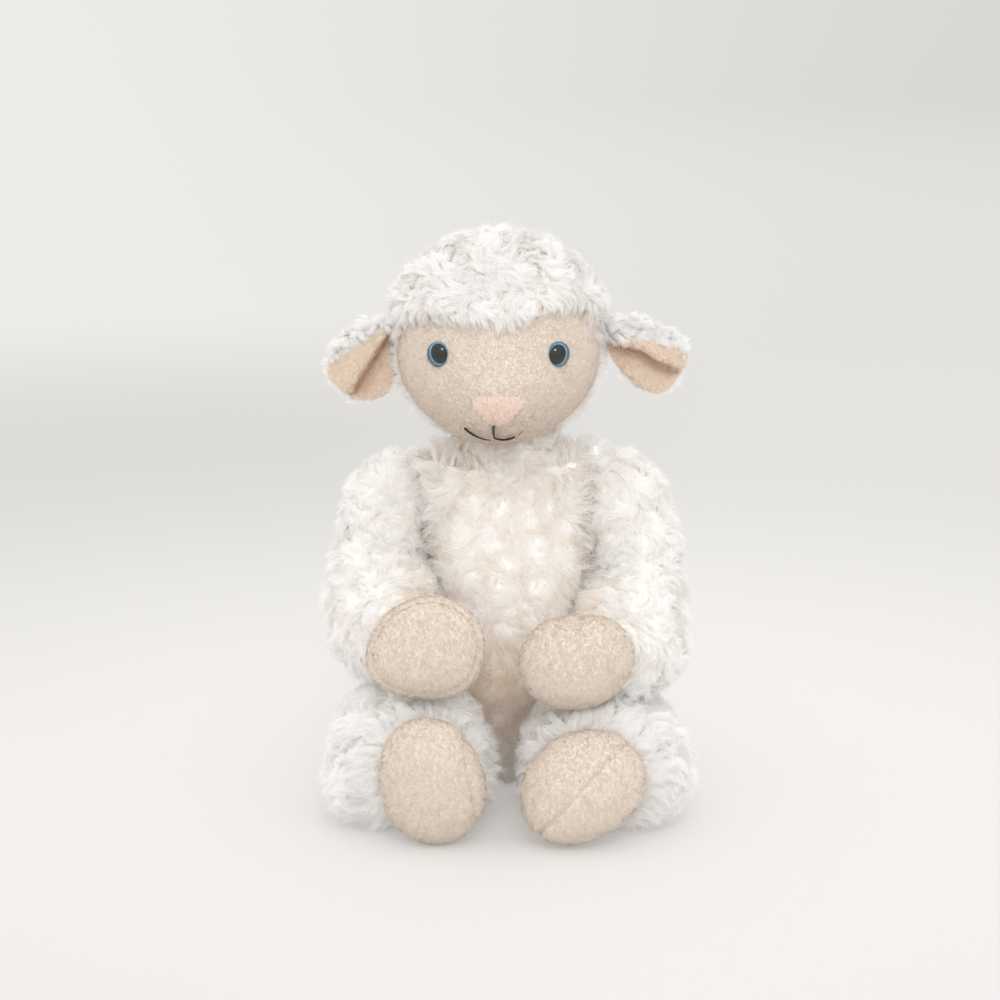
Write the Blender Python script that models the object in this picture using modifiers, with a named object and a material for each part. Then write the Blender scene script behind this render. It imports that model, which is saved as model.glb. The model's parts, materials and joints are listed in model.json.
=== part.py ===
"""A sitting plush sheep, piece by piece: sewn skins, their stuffing, pellet bags and safety eyes.

Metres, +Z up. The sheep looks along -Y and its own left side is at +X. It is drawn about the middle of
its seat, and the whole is then moved so that the origin is under the middle of its box, on the floor.
The skins are drawn at about half the depth of their pile.
"""

import math

import bmesh
import bpy
from mathutils import Matrix, Vector

# Cloth, and the room between pieces. A soft form draws in by about seat_draw, and what sits on it follows.
# The filling of a limb keeps bend_room more, because its corners aren't drawn in where the limb bends.
wool_thickness = 0.003
velvet_thickness = 0.002
seam_gap = 0.0003
filling_gap = 0.0006
bend_room = 0.0012
seat_draw = 0.0009
flat_cut = 0.0005
overrun = 0.02
merge_distance = 0.00001

# Torso, a pear with flat seats for the arms
torso_height = 0.141
torso_half_width = 0.0475
torso_half_depth = 0.044
chest_half_width = 0.034
shoulder_seat_from = 0.053
torso_foot_round = 0.018
torso_flatness = 0.3
torso_back_shift = 0.003
torso_width_shares = (0.93, 1.0, 0.88, 0.77, 0.75, 0.73, 0.58)
torso_depth_shares = (0.76, 0.86, 0.98, 0.97, 0.88, 0.76, 0.62)
torso_height_shares = (0, 0.2, 0.4, 0.6, 0.8, 1)
torso_lean_shares = (1, 1, 0.2, -0.6, -1.2, -1.6)
pellet_bag_height = 0.024
neck_hole_radius = 0.012

# Neck, a firm ball that the head tips and turns on
neck_radius = 0.026
neck_forward = 0.006
neck_lift = 0.005

# Head
head_half_width = 0.0445
head_half_depth = 0.043
head_half_height = 0.0455
head_lift = 0.0595
head_forward = 0.012
head_aside = -0.0037
cheek_share = 0.05
muzzle_reach = 0.016
muzzle_drop = 0.027
muzzle_spread = 0.0165
face_inset = 0.001
face_top = 0.0135
face_back = 0.004
face_corner = 0.012

# Nose patch
nose_half_width = 0.0097
nose_half_height = 0.0062
nose_thickness = 0.0012
nose_drop = 0.0225
nose_corner_share = 0.16

# Safety eyes with their washers
eye_radius = 0.0055
eye_dome_height = 0.0039
eye_rim_height = 0.0008
eye_stem_radius = 0.0015
eye_stem_length = 0.009
eye_spacing = 0.0508
eye_drop = 0.0015
eye_dimple = 0.0008
washer_radius = 0.0055
washer_thickness = 0.0015
washer_depth = 0.0032

# Ears
ear_length = 0.036
ear_root_radius = 0.006
ear_half_width = 0.0172
ear_half_thickness = 0.006
ear_rise = 0.0045
ear_forward = 0.003
ear_border = 0.003
ear_lining_half_thickness = 0.0016
ear_droop_deg = {"left": 33, "right": 49}
ear_width_shares = (0.37, 0.77, 1.0, 0.94, 0.64)
ear_thickness_shares = (0.75, 0.92, 1.0, 0.9, 0.65)
lining_width_shares = (0.27, 0.77, 1.0, 0.94, 0.57)

# Arms, from the shoulder seat round to the hands on the lap
shoulder_height = 0.127
shoulder_back = 0.004
arm_offset = 0.0175
arm_half_width = 0.0215
arm_half_depth = 0.0225
elbow_out = 0.0575
elbow_rise = 0.0165
elbow_forward = 0.0085
forearm_out = 0.0545
forearm_forward = 0.042
forearm_rise = 0.001
arm_width_shares = (0.92, 0.97, 1.0, 0.98, 0.80)
arm_depth_shares = (0.88, 0.96, 1.0, 0.94, 0.76)
wrist_round = 0.010
wrist_hole_radius = 0.009
arm_room_forward = 0.050

# Hands
hand_half_width = 0.0247
hand_half_depth = 0.0155
hand_half_height = 0.0215
hand_forward = 0.079
hand_in = {"left": 0.0296, "right": 0.0342}
hand_height = {"left": 0.0735, "right": 0.0805}
hand_lean_deg = 14
wrist_out = 0.0145
wrist_back = 0.0165

# Legs, which turn outwards on their round roots
hip_out = 0.042
hip_forward = 0.030
leg_half_width = 0.033
leg_half_height = 0.0245
ankle_out = 0.0375
ankle_forward = 0.079
ankle_round = 0.012
ankle_hole_radius = 0.010
leg_width_shares = (1.0, 1.0, 1.0, 0.90)
leg_height_shares = (1.0, 1.0, 1.0, 0.97)

# Feet
foot_half_width = 0.0225
foot_half_depth = 0.0155
foot_half_height = 0.0285
foot_out = 0.0314
foot_forward = 0.099
foot_roll_deg = {"left": 41, "right": 4}
foot_lean_deg = {"left": 18, "right": 2}

# Tail
tail_root_height = 0.047
tail_length = 0.024
tail_root_radius = 0.006
tail_half_width = 0.011
tail_half_thickness = 0.0065
tail_tip_back = 0.003
tail_width_shares = (0.70, 0.95, 1.0, 0.80)
tail_thickness_shares = (0.90, 1.0, 1.0, 0.80)

sides = {"left": 1, "right": -1}
across_axis = Vector((1, 0, 0))
depth_axis = Vector((0, 1, 0))
up_axis = Vector((0, 0, 1))

# Places that follow from the sizes
neck_centre = Vector((0, -neck_forward, torso_height + neck_lift))
head_centre = Vector((head_aside, -head_forward, torso_height + head_lift))

colours = {
    "wool": ((0.90, 0.85, 0.78), 0.95, 0),
    "velvet": ((0.74, 0.63, 0.52), 0.9, 0),
    "pink_velvet": ((0.84, 0.64, 0.56), 0.9, 0),
    "stuffing": ((0.93, 0.93, 0.92), 1.0, 0),
    "pellet_bag": ((0.80, 0.80, 0.76), 0.8, 0),
    "eye_plastic": ((0.03, 0.06, 0.09), 0.08, 0),
    "washer_plastic": ((0.85, 0.86, 0.86), 0.4, 0),
}


def clear_scene():
    for thing in list(bpy.data.objects):
        bpy.data.objects.remove(thing)


def new_collection(name):
    collection = bpy.data.collections.new(name)
    bpy.context.scene.collection.children.link(collection)
    return collection


clear_scene()
sheep = new_collection("plush_sheep")
tools = new_collection("cutters")


def make_material(name):
    colour, roughness, metallic = colours[name]
    material = bpy.data.materials.new(name)
    material.use_nodes = True
    shader = material.node_tree.nodes["Principled BSDF"]
    shader.inputs["Base Color"].default_value = (*colour, 1)
    shader.inputs["Roughness"].default_value = roughness
    shader.inputs["Metallic"].default_value = metallic
    return material


materials = {name: make_material(name) for name in colours}


def new_pivot(name, place, parent=None):
    pivot = bpy.data.objects.new(name, None)
    sheep.objects.link(pivot)
    pivot.empty_display_size = seam_gap + neck_radius
    if parent:
        pivot.parent = parent
        pivot.location = place - parent.matrix_world.translation
    else:
        pivot.location = place
    bpy.context.view_layer.update()
    return pivot


def keep_mesh(bm, name, parent, finish=None):
    """An object from a bmesh. With a finish it is a piece of the sheep, and otherwise a cutter."""
    mesh = bpy.data.meshes.new(name)
    bm.to_mesh(mesh)
    bm.free()
    mesh.shade_smooth()
    thing = bpy.data.objects.new(name, mesh)
    if finish:
        sheep.objects.link(thing)
        mesh.materials.append(materials[finish])
    else:
        tools.objects.link(thing)
        thing.display_type = "WIRE"
        thing.hide_render = True
    thing.parent = parent
    thing.matrix_parent_inverse = parent.matrix_world.inverted()
    return thing


def flat_facets(bm):
    """The same diagonal in the same quad of each form, so that a filling fits its skin."""
    bmesh.ops.triangulate(bm, faces=bm.faces, quad_method="FIXED")


def subdivide(thing):
    modifier = thing.modifiers.new("soft", "SUBSURF")
    modifier.levels = 1
    modifier.render_levels = 1


def cut(thing, *cutters, operation="DIFFERENCE"):
    for cutter in cutters:
        modifier = thing.modifiers.new(cutter.name, "BOOLEAN")
        modifier.operation = operation
        modifier.solver = "EXACT"
        modifier.object = cutter


def ring_swell(count):
    """A closed ring of count points draws in when it is subdivided once. This makes it as much larger."""
    return 4 / (3 + math.cos(2 * math.pi / count))


def along_points(points, share):
    """A point at share of the way along a smooth curve through the points. Numbers work as well."""
    spans = len(points) - 1
    place = min(max(share, 0), 1) * spans
    first = min(int(place), spans - 1)
    t = place - first
    before = points[max(first - 1, 0)]
    start = points[first]
    end = points[first + 1]
    after = points[min(first + 2, spans)]
    return 0.5 * (
        2 * start
        + (end - before) * t
        + (2 * before - 5 * start + 4 * end - after) * t * t
        + (3 * start - 3 * end + after - before) * t * t * t
    )


def soft_tube(name, parent, spine, widths, depths, caps, lateral, finish=None,
              grow=0, segments=10, cap_rows=2, body_rows=5, soft=True, cap_power=1):
    """A stuffed tube with round ends, drawn from a unit sphere. Its cage is coarse and then subdivided.

    A cap_power under 1 makes the ends flatter.
    """
    rows = 2 * cap_rows + body_rows
    bm = bmesh.new()
    bmesh.ops.create_uvsphere(bm, u_segments=segments, v_segments=rows, radius=1)
    ring = ring_swell(segments) if soft else 1
    end = ring_swell(4 * cap_rows) if soft else 1
    for vert in bm.verts:
        row = round(math.acos(min(max(-vert.co.z, -1), 1)) / math.pi * rows)
        around = math.atan2(vert.co.y, vert.co.x)
        share = min(max((row - cap_rows) / body_rows, 0), 1)
        step = 1 / (8 * body_rows)
        tangent = (along_points(spine, share + step) - along_points(spine, share - step)).normalized()
        rise = min(row, rows - row, cap_rows) / cap_rows * math.pi / 2
        cap = caps[0] if row < cap_rows else caps[1]
        onward = max(math.cos(rise), 0) ** cap_power * (cap + grow) * end * (-1 if row < cap_rows else 1)
        side = (lateral - lateral.dot(tangent) * tangent).normalized()
        other = tangent.cross(side)
        half_width = (along_points(widths, share) + grow) * ring * math.sin(rise)
        half_depth = (along_points(depths, share) + grow) * ring * math.sin(rise)
        vert.co = (
            along_points(spine, share)
            + tangent * onward
            + side * half_width * math.cos(around)
            + other * half_depth * math.sin(around)
        )
    if not soft:
        flat_facets(bm)
    thing = keep_mesh(bm, name, parent, finish)
    if soft:
        subdivide(thing)
    return thing


def soft_ball(name, parent, centre, radii, finish=None, grow=0, turn=None, shape=None,
              segments=10, rows=6, soft=True):
    """A stuffed ball with three radii. shape may move the points of its cage about the centre."""
    bm = bmesh.new()
    bmesh.ops.create_uvsphere(bm, u_segments=segments, v_segments=rows, radius=1)
    swell = ring_swell(segments) * ring_swell(2 * rows) if soft else 1
    for vert in bm.verts:
        place = Vector(unit * (radius + grow) * swell for unit, radius in zip(vert.co, radii))
        if shape:
            place = shape(place)
        if turn:
            place = turn @ place
        vert.co = centre + place
    if not soft:
        flat_facets(bm)
    thing = keep_mesh(bm, name, parent, finish)
    if soft:
        subdivide(thing)
    return thing


def round_cutter(name, parent, centre, radii, segments=16):
    """A ball whose flat facets lie outside the round shape of these radii."""
    bm = bmesh.new()
    bmesh.ops.create_uvsphere(bm, u_segments=segments, v_segments=segments // 2, radius=1)
    outside = 1 / math.cos(math.pi / segments) ** 2
    for vert in bm.verts:
        vert.co = centre + Vector(unit * radius * outside for unit, radius in zip(vert.co, radii))
    return keep_mesh(bm, name, parent)


def box_cutter(name, parent, low, high):
    bm = bmesh.new()
    bmesh.ops.create_cube(bm, size=1)
    for vert in bm.verts:
        vert.co = Vector(a if unit < 0 else b for unit, a, b in zip(vert.co, low, high))
    return keep_mesh(bm, name, parent)


def rod_cutter(name, parent, start, end, radius, segments=12):
    bm = bmesh.new()
    length = (end - start).length
    turn = (end - start).to_track_quat("Z", "Y").to_matrix().to_4x4()
    bmesh.ops.create_cone(bm, cap_ends=True, segments=segments, radius1=radius, radius2=radius,
                          depth=length, matrix=Matrix.Translation((start + end) / 2) @ turn)
    return keep_mesh(bm, name, parent)


def turned_piece(name, parent, frame, profile, finish, steps, closed=False):
    """A turned piece: the profile's (radius, height) points run down its outer side."""
    mesh = bpy.data.meshes.new(name)
    edges = [(i, i + 1) for i in range(len(profile) - 1)]
    if closed:
        edges.append((len(profile) - 1, 0))
    mesh.from_pydata([(radius, 0, height) for radius, height in profile], edges, [])
    mesh.materials.append(materials[finish])
    thing = bpy.data.objects.new(name, mesh)
    sheep.objects.link(thing)
    thing.parent = parent
    thing.matrix_parent_inverse = parent.matrix_world.inverted()
    thing.matrix_basis = frame
    screw = thing.modifiers.new("turned", "SCREW")
    screw.steps = steps
    screw.render_steps = steps
    screw.use_merge_vertices = True
    screw.merge_threshold = merge_distance
    screw.use_smooth_shade = True
    return thing


body_reach = torso_half_width + 2 * arm_half_width + overrun
full_height = head_centre.z + head_half_height


def floor_cutter(name, parent, height):
    """Everything under this height."""
    low = Vector((-body_reach, -body_reach - foot_forward, -overrun))
    high = Vector((body_reach, body_reach, height))
    return box_cutter(name, parent, low, high)


def ceiling_cutter(name, parent, height):
    """Everything over this height."""
    low = Vector((-body_reach, -body_reach, height))
    high = Vector((body_reach, body_reach, full_height + overrun))
    return box_cutter(name, parent, low, high)


def to_side(side, place):
    """A place given for the left side, on the side asked for."""
    return Vector((sides[side] * place[0], place[1], place[2]))


# Torso

root = new_pivot("sheep_root", Vector((0, 0, 0)))
torso_bottom = torso_foot_round - flat_cut
torso_spine = [
    Vector((0, torso_back_shift * lean_share, torso_bottom + (torso_height - torso_bottom) * height_share))
    for height_share, lean_share in zip(torso_height_shares, torso_lean_shares)
]
hip_centres = {
    side: to_side(side, (hip_out, -hip_forward, leg_half_height - flat_cut)) for side in sides
}


def torso_form(name, grow, soft, finish=None):
    return soft_tube(
        name, root, torso_spine,
        [torso_half_width * share for share in torso_width_shares],
        [torso_half_depth * share for share in torso_depth_shares],
        (torso_foot_round, torso_foot_round), across_axis, finish, grow,
        segments=12, cap_rows=2, body_rows=6, soft=soft, cap_power=torso_flatness,
    )


def trim_torso(thing, label, wall):
    """Cuts the room for the legs, the arms' flat seats and the top, a wall's thickness further in."""
    for side, sign in sides.items():
        room = wall + seam_gap - seat_draw
        hip_radii = (leg_half_width + room, leg_half_width + room, leg_half_height + room)
        facets = 16 if wall else 24
        hip = round_cutter(f"{label}_hip_{side}", root, hip_centres[side], hip_radii, facets)
        seat = chest_half_width - wall
        low = Vector((min(sign * seat, sign * body_reach), -body_reach, shoulder_seat_from - wall))
        high = Vector((max(sign * seat, sign * body_reach), body_reach, torso_height + overrun))
        shoulder = box_cutter(f"{label}_shoulder_{side}", root, low, high)
        cut(thing, hip, shoulder)
    cut(thing, ceiling_cutter(f"{label}_top", root, torso_height - wall))


def make_torso():
    skin = torso_form("torso_skin", 0, True, "wool")
    trim_torso(skin, "skin", 0)
    cut(skin, floor_cutter("skin_floor", root, 0))
    void = torso_form("torso_void", -wool_thickness, False)
    trim_torso(void, "void", wool_thickness)
    cut(void, floor_cutter("void_floor", root, wool_thickness))
    neck_floor = Vector((0, -neck_forward, torso_height - 2 * wool_thickness))
    neck_top = neck_floor + up_axis * (2 * wool_thickness + overrun)
    cut(skin, void, rod_cutter("torso_neck_hole", root, neck_floor, neck_top, neck_hole_radius))
    inner_wall = wool_thickness + seam_gap
    stuffing = torso_form("torso_stuffing", -inner_wall, False, "stuffing")
    trim_torso(stuffing, "stuffing", inner_wall)
    cut(stuffing, floor_cutter("stuffing_floor", root, pellet_bag_height + seam_gap))
    bag = torso_form("seat_pellet_bag", -inner_wall, False, "pellet_bag")
    trim_torso(bag, "bag", inner_wall)
    cut(bag, floor_cutter("bag_floor", root, inner_wall), ceiling_cutter("bag_top", root, pellet_bag_height))


# Neck and head

neck_pivot = new_pivot("neck_turn_pivot", neck_centre, root)
head_pivot = new_pivot("head_nod_pivot", neck_centre, neck_pivot)


def make_neck():
    base = torso_height + seam_gap
    ball = (neck_radius,) * 3
    sleeve = soft_ball("neck_sleeve", neck_pivot, neck_centre, ball, "wool",
                       segments=16, rows=10, soft=False)
    inner = tuple(radius - wool_thickness for radius in ball)
    void = soft_ball("neck_void", neck_pivot, neck_centre, inner, segments=12, rows=8, soft=False)
    cut(void, floor_cutter("neck_void_base", neck_pivot, base + wool_thickness))
    reach = up_axis * (neck_radius + overrun)
    hole = rod_cutter("neck_hole", neck_pivot, neck_centre - reach, neck_centre + reach, neck_hole_radius)
    cut(sleeve, floor_cutter("neck_base", neck_pivot, base), void, hole)
    filling = tuple(radius - seam_gap for radius in inner)
    stuffing = soft_ball("neck_stuffing", neck_pivot, neck_centre, filling, "stuffing",
                         segments=12, rows=8, soft=False)
    cut(stuffing, floor_cutter("neck_stuffing_base", neck_pivot, base + wool_thickness + seam_gap))


def muzzle_push(across, up):
    """How far the muzzle stands out of the round head at this place, given from the head's centre."""
    distance = across * across + (up + muzzle_drop) * (up + muzzle_drop)
    return muzzle_reach * math.exp(-distance / (2 * muzzle_spread * muzzle_spread))


def head_shape(place):
    """Fuller cheeks below the middle, and the muzzle pushed out at the front."""
    low = min(max(-place.z / head_half_height, 0), 1)
    place.x *= 1 + cheek_share * math.sin(math.pi * low)
    if place.y < 0:
        place.y -= muzzle_push(place.x, place.z)
    return place


def head_form(name, grow, finish=None):
    radii = (head_half_width, head_half_depth, head_half_height)
    return soft_ball(name, head_pivot, head_centre, radii, finish, grow,
                     shape=head_shape, segments=14, rows=10)


def face_window(name, gap):
    """The block in front of the face's seam, with a round corner at the forehead."""
    low = head_centre - Vector((1, 1, 1)) * (head_half_height + overrun)
    high = head_centre + Vector((head_half_width + overrun, gap - face_back, face_top + gap))
    window = box_cutter(name, head_pivot, low, high)
    bevel = window.modifiers.new("round_corner", "BEVEL")
    bevel.width = face_corner
    bevel.segments = 4
    bevel.limit_method = "NONE"
    return window


def face_frame(across, up):
    """A frame on the face: its origin on the skin, its Z axis pointing out."""
    half_width = head_half_width - face_inset
    half_depth = head_half_depth - face_inset
    half_height = head_half_height - face_inset
    depth = half_depth * math.sqrt(1 - (across / half_width) ** 2 - (up / half_height) ** 2)
    out = Vector((across / half_width**2, -depth / half_depth**2, up / half_height**2)).normalized()
    place = head_centre + Vector((across, -depth - muzzle_push(across, up), up))
    return Matrix.Translation(place) @ out.to_track_quat("Z", "Y").to_matrix().to_4x4()


def eye_profile():
    """The dome, its short rim, the flat back and the stem."""
    steps = 5
    dome = [
        (
            eye_radius * math.sin(math.pi / 2 * i / steps),
            eye_rim_height + (eye_dome_height - eye_rim_height) * math.cos(math.pi / 2 * i / steps),
        )
        for i in range(steps + 1)
    ]
    stem = [(eye_radius, 0), (eye_stem_radius, 0), (eye_stem_radius, -eye_stem_length)]
    return dome + stem + [(0, -eye_stem_length)]


def washer_profile():
    hole = eye_stem_radius + seam_gap
    return [(hole, 0), (washer_radius, 0), (washer_radius, -washer_thickness), (hole, -washer_thickness)]


def make_eye(side, face, stuffing):
    frame = face_frame(sides[side] * eye_spacing / 2, -eye_drop)
    out = frame.to_3x3() @ up_axis
    seat = frame.translation - out * eye_dimple
    turned_piece(f"eye_{side}", head_pivot, Matrix.Translation(out * seam_gap - out * eye_dimple) @ frame,
                 eye_profile(), "eye_plastic", 14)
    turned_piece(f"eye_washer_{side}", head_pivot, Matrix.Translation(-out * washer_depth) @ frame,
                 washer_profile(), "washer_plastic", 12, closed=True)
    front = frame.translation + out * eye_radius
    dimple = rod_cutter(f"dimple_{side}", head_pivot, seat, front, eye_radius + 2 * seam_gap, 20)
    stem_end = frame.translation - out * (eye_stem_length + eye_dimple + seam_gap)
    stem_room = rod_cutter(f"stem_room_{side}", head_pivot, stem_end, front, eye_stem_radius + seam_gap)
    washer_back = frame.translation - out * (washer_depth + washer_thickness + seam_gap)
    washer_room = rod_cutter(f"washer_room_{side}", head_pivot, washer_back, front,
                             washer_radius + 2 * seam_gap)
    cut(face, dimple, stem_room)
    cut(stuffing, washer_room, stem_room)


def nose_prism():
    """A soft-cornered triangle, point down, drawn out along the nose's direction."""
    bm = bmesh.new()
    points = 24
    bmesh.ops.create_circle(bm, cap_ends=True, segments=points, radius=1)
    for vert in bm.verts:
        around = math.atan2(vert.co.y, vert.co.x)
        swell = 1 + nose_corner_share * math.sin(3 * around)
        vert.co = Vector((
            math.cos(around) * nose_half_width * swell,
            -(head_half_depth + muzzle_reach + overrun),
            math.sin(around) * nose_half_height * swell - nose_drop,
        ))
    solid = bmesh.ops.extrude_face_region(bm, geom=bm.faces[:])
    for vert in solid["geom"]:
        if isinstance(vert, bmesh.types.BMVert):
            vert.co.y = -head_half_depth / 2
    bmesh.ops.translate(bm, vec=head_centre, verts=bm.verts)
    bmesh.ops.recalc_face_normals(bm, faces=bm.faces)
    return keep_mesh(bm, "nose_outline", head_pivot)


def make_head():
    socket = round_cutter("head_socket", head_pivot, neck_centre, (neck_radius + seam_gap,) * 3, 20)
    void = head_form("head_void", -wool_thickness)
    wool = head_form("head_wool", 0, "wool")
    cut(wool, face_window("wool_edge", seam_gap), void, socket)
    face = head_form("face_panel", -face_inset, "velvet")
    cut(face, face_window("face_edge", 0), operation="INTERSECT")
    cut(face, void, socket)
    stuffing = head_form("head_stuffing", -wool_thickness - filling_gap, "stuffing")
    cut(stuffing, socket)
    for side in sides:
        make_eye(side, face, stuffing)
    bed = head_form("nose_bed", seam_gap - face_inset)
    nose = head_form("nose_patch", seam_gap - face_inset + nose_thickness, "pink_velvet")
    cut(nose, nose_prism(), operation="INTERSECT")
    cut(nose, bed)


# Ears

def make_ear(side):
    sign = sides[side]
    out = head_half_width + ear_root_radius + seam_gap - seat_draw
    root_place = head_centre + Vector((sign * out, -ear_forward, ear_rise))
    pivot = new_pivot(f"ear_{side}_pivot", root_place, head_pivot)
    droop = math.radians(ear_droop_deg[side])
    onward = Vector((sign * math.cos(droop), 0, -math.sin(droop)))
    spine = [root_place + onward * ear_length * i / 4 for i in range(5)]
    ear = soft_tube(
        f"ear_wool_{side}", pivot, spine,
        [ear_half_thickness * share for share in ear_thickness_shares],
        [ear_half_width * share for share in ear_width_shares],
        (ear_root_radius, ear_root_radius), depth_axis, "wool", 0, segments=8, cap_rows=2, body_rows=4,
    )
    lining_front = -depth_axis * (ear_half_thickness - ear_lining_half_thickness / 2)
    lining_spine = [place + lining_front for place in spine]

    def lining_form(name, grow, finish=None):
        return soft_tube(
            name, pivot, lining_spine,
            [ear_lining_half_thickness for share in lining_width_shares],
            [(ear_half_width - ear_border) * share for share in lining_width_shares],
            (ear_lining_half_thickness, ear_root_radius - ear_border), depth_axis, finish, grow,
            segments=6, cap_rows=1, body_rows=4,
        )

    lining_form(f"ear_lining_{side}", 0, "velvet")
    cut(ear, lining_form(f"lining_room_{side}", seam_gap))


# Arms and legs

def make_limb(sleeve_form, end_form, names, trims, opening, end_wall):
    """A wool sleeve and its stuffing, with a velvet end and its filling. The sleeve cuts the end."""
    sleeve_name, stuffing_name, end_name, filling_name, filling_finish = names
    sleeve = sleeve_form(sleeve_name, 0, True, "wool")
    wool_wall = wool_thickness + bend_room
    void = sleeve_form(f"{sleeve_name}_void", -wool_wall, False)
    stuffing = sleeve_form(stuffing_name, -wool_wall - filling_gap, False, "stuffing")
    collar = sleeve_form(f"{sleeve_name}_collar", seam_gap, True)
    for thing, wall in ((sleeve, 0), (void, wool_wall), (stuffing, wool_wall + filling_gap)):
        trims(thing, wall)
    cut(sleeve, void, opening)
    end = end_form(end_name, 0, True, "velvet")
    end_void = end_form(f"{end_name}_void", -end_wall, False)
    filling = end_form(filling_name, -end_wall - filling_gap, False, filling_finish)
    for thing, wall in ((end, 0), (end_void, end_wall), (filling, end_wall + filling_gap)):
        trims(thing, wall)
    cut(end, end_void, collar)
    cut(filling, collar)


def make_arm(side):
    pivot_place = to_side(side, (chest_half_width, shoulder_back, shoulder_height))
    pivot = new_pivot(f"arm_{side}_pivot", pivot_place, root)
    hand_centre = to_side(side, (hand_in[side], -hand_forward, hand_height[side]))
    wrist = hand_centre + to_side(side, (wrist_out, wrist_back, 0))
    shoulder = pivot_place + to_side(side, (arm_offset, 0, 0))
    elbow = to_side(side, (elbow_out, -elbow_forward, hand_height[side] + elbow_rise))
    forearm = to_side(side, (forearm_out, -forearm_forward, hand_height[side] + forearm_rise))
    spine = [shoulder, elbow, forearm, wrist]

    def sleeve_form(name, grow, soft, finish=None):
        return soft_tube(
            name, pivot, spine,
            [arm_half_width * share for share in arm_width_shares],
            [arm_half_depth * share for share in arm_depth_shares],
            (arm_half_depth * arm_depth_shares[0], wrist_round), across_axis, finish, grow,
            segments=10, cap_rows=2, body_rows=6, soft=soft,
        )

    lean = Matrix.Rotation(math.radians(-hand_lean_deg), 3, "X")
    hand_radii = (hand_half_width, hand_half_depth, hand_half_height)

    def hand_form(name, grow, soft, finish=None):
        return soft_ball(name, pivot, hand_centre, hand_radii, finish, grow, lean, segments=8, soft=soft)

    def trim_arm(thing, wall):
        seat = chest_half_width + seam_gap + wall
        low = Vector((-seat, -arm_room_forward - wall, 0))
        high = Vector((seat, body_reach, full_height))
        cut(thing, box_cutter(f"{thing.name}_shoulder_cut", pivot, low, high))

    opening = rod_cutter(f"wrist_hole_{side}", pivot, wrist, hand_centre, wrist_hole_radius)
    names = (f"arm_sleeve_{side}", f"arm_stuffing_{side}", f"hand_{side}", f"hand_stuffing_{side}",
             "stuffing")
    make_limb(sleeve_form, hand_form, names, trim_arm, opening, velvet_thickness)


def make_leg(side):
    hip = hip_centres[side]
    pivot = new_pivot(f"leg_{side}_pivot", hip, root)
    ankle = to_side(side, (ankle_out, -ankle_forward, hip.z))
    spine = [hip, hip.lerp(ankle, 1 / 3), hip.lerp(ankle, 2 / 3), ankle]

    def sleeve_form(name, grow, soft, finish=None):
        return soft_tube(
            name, pivot, spine,
            [leg_half_width * share for share in leg_width_shares],
            [leg_half_height * share for share in leg_height_shares],
            (leg_half_width, ankle_round), across_axis, finish, grow,
            segments=10, cap_rows=2, body_rows=3, soft=soft,
        )

    roll = Matrix.Rotation(math.radians(sides[side] * foot_roll_deg[side]), 3, "Y")
    turn = Matrix.Rotation(math.radians(-foot_lean_deg[side]), 3, "X") @ roll
    radii = (foot_half_width, foot_half_depth, foot_half_height)
    reach = math.sqrt(sum((turn[2][i] * radii[i]) ** 2 for i in range(3)))
    foot_centre = to_side(side, (foot_out, -foot_forward, reach - flat_cut))

    def foot_form(name, grow, soft, finish=None):
        return soft_ball(name, pivot, foot_centre, radii, finish, grow, turn, segments=8, soft=soft)

    def trim_leg(thing, wall):
        cut(thing, floor_cutter(f"{thing.name}_floor", pivot, wall))

    toe = ankle - depth_axis * (ankle_round + overrun)
    opening = rod_cutter(f"ankle_hole_{side}", pivot, ankle, toe, ankle_hole_radius)
    names = (f"leg_sleeve_{side}", f"leg_stuffing_{side}", f"foot_{side}", f"foot_pellet_bag_{side}",
             "pellet_bag")
    make_limb(sleeve_form, foot_form, names, trim_leg, opening, velvet_thickness)


def torso_back(height):
    """How far back the torso reaches at this height."""
    share = (height - torso_bottom) / (torso_height - torso_bottom)
    return along_points(torso_spine, share).y + torso_half_depth * along_points(torso_depth_shares, share)


def make_tail():
    clear = torso_back(tail_root_height) + seam_gap - 2 * seat_draw
    root_place = Vector((0, clear + tail_root_radius, tail_root_height))
    pivot = new_pivot("tail_pivot", root_place, root)
    tip = root_place + Vector((0, tail_tip_back, -tail_length))
    spine = [root_place.lerp(tip, i / 3) for i in range(4)]
    soft_tube(
        "tail_wool", pivot, spine,
        [tail_half_width * share for share in tail_width_shares],
        [tail_half_thickness * share for share in tail_thickness_shares],
        (tail_root_radius, tail_root_radius), across_axis, "wool", segments=8, cap_rows=2, body_rows=2,
    )


def stand_on_origin():
    """Moves the whole so that the origin is under the middle of its box."""
    graph = bpy.context.evaluated_depsgraph_get()
    low = [math.inf] * 2
    high = [-math.inf] * 2
    for thing in sheep.objects:
        if thing.type != "MESH":
            continue
        shown = thing.evaluated_get(graph)
        for corner in shown.bound_box:
            place = shown.matrix_world @ Vector(corner)
            for i in range(2):
                low[i] = min(low[i], place[i])
                high[i] = max(high[i], place[i])
    root.location -= Vector(((low[0] + high[0]) / 2, (low[1] + high[1]) / 2, 0))
    bpy.context.view_layer.update()


make_torso()
make_neck()
make_head()
for side_name in sides:
    make_ear(side_name)
    make_arm(side_name)
    make_leg(side_name)
make_tail()
stand_on_origin()
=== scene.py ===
import json
import math

import bpy
import numpy as np
from mathutils import Matrix, Vector
from mathutils.bvhtree import BVHTree
from mathutils.kdtree import KDTree


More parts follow.
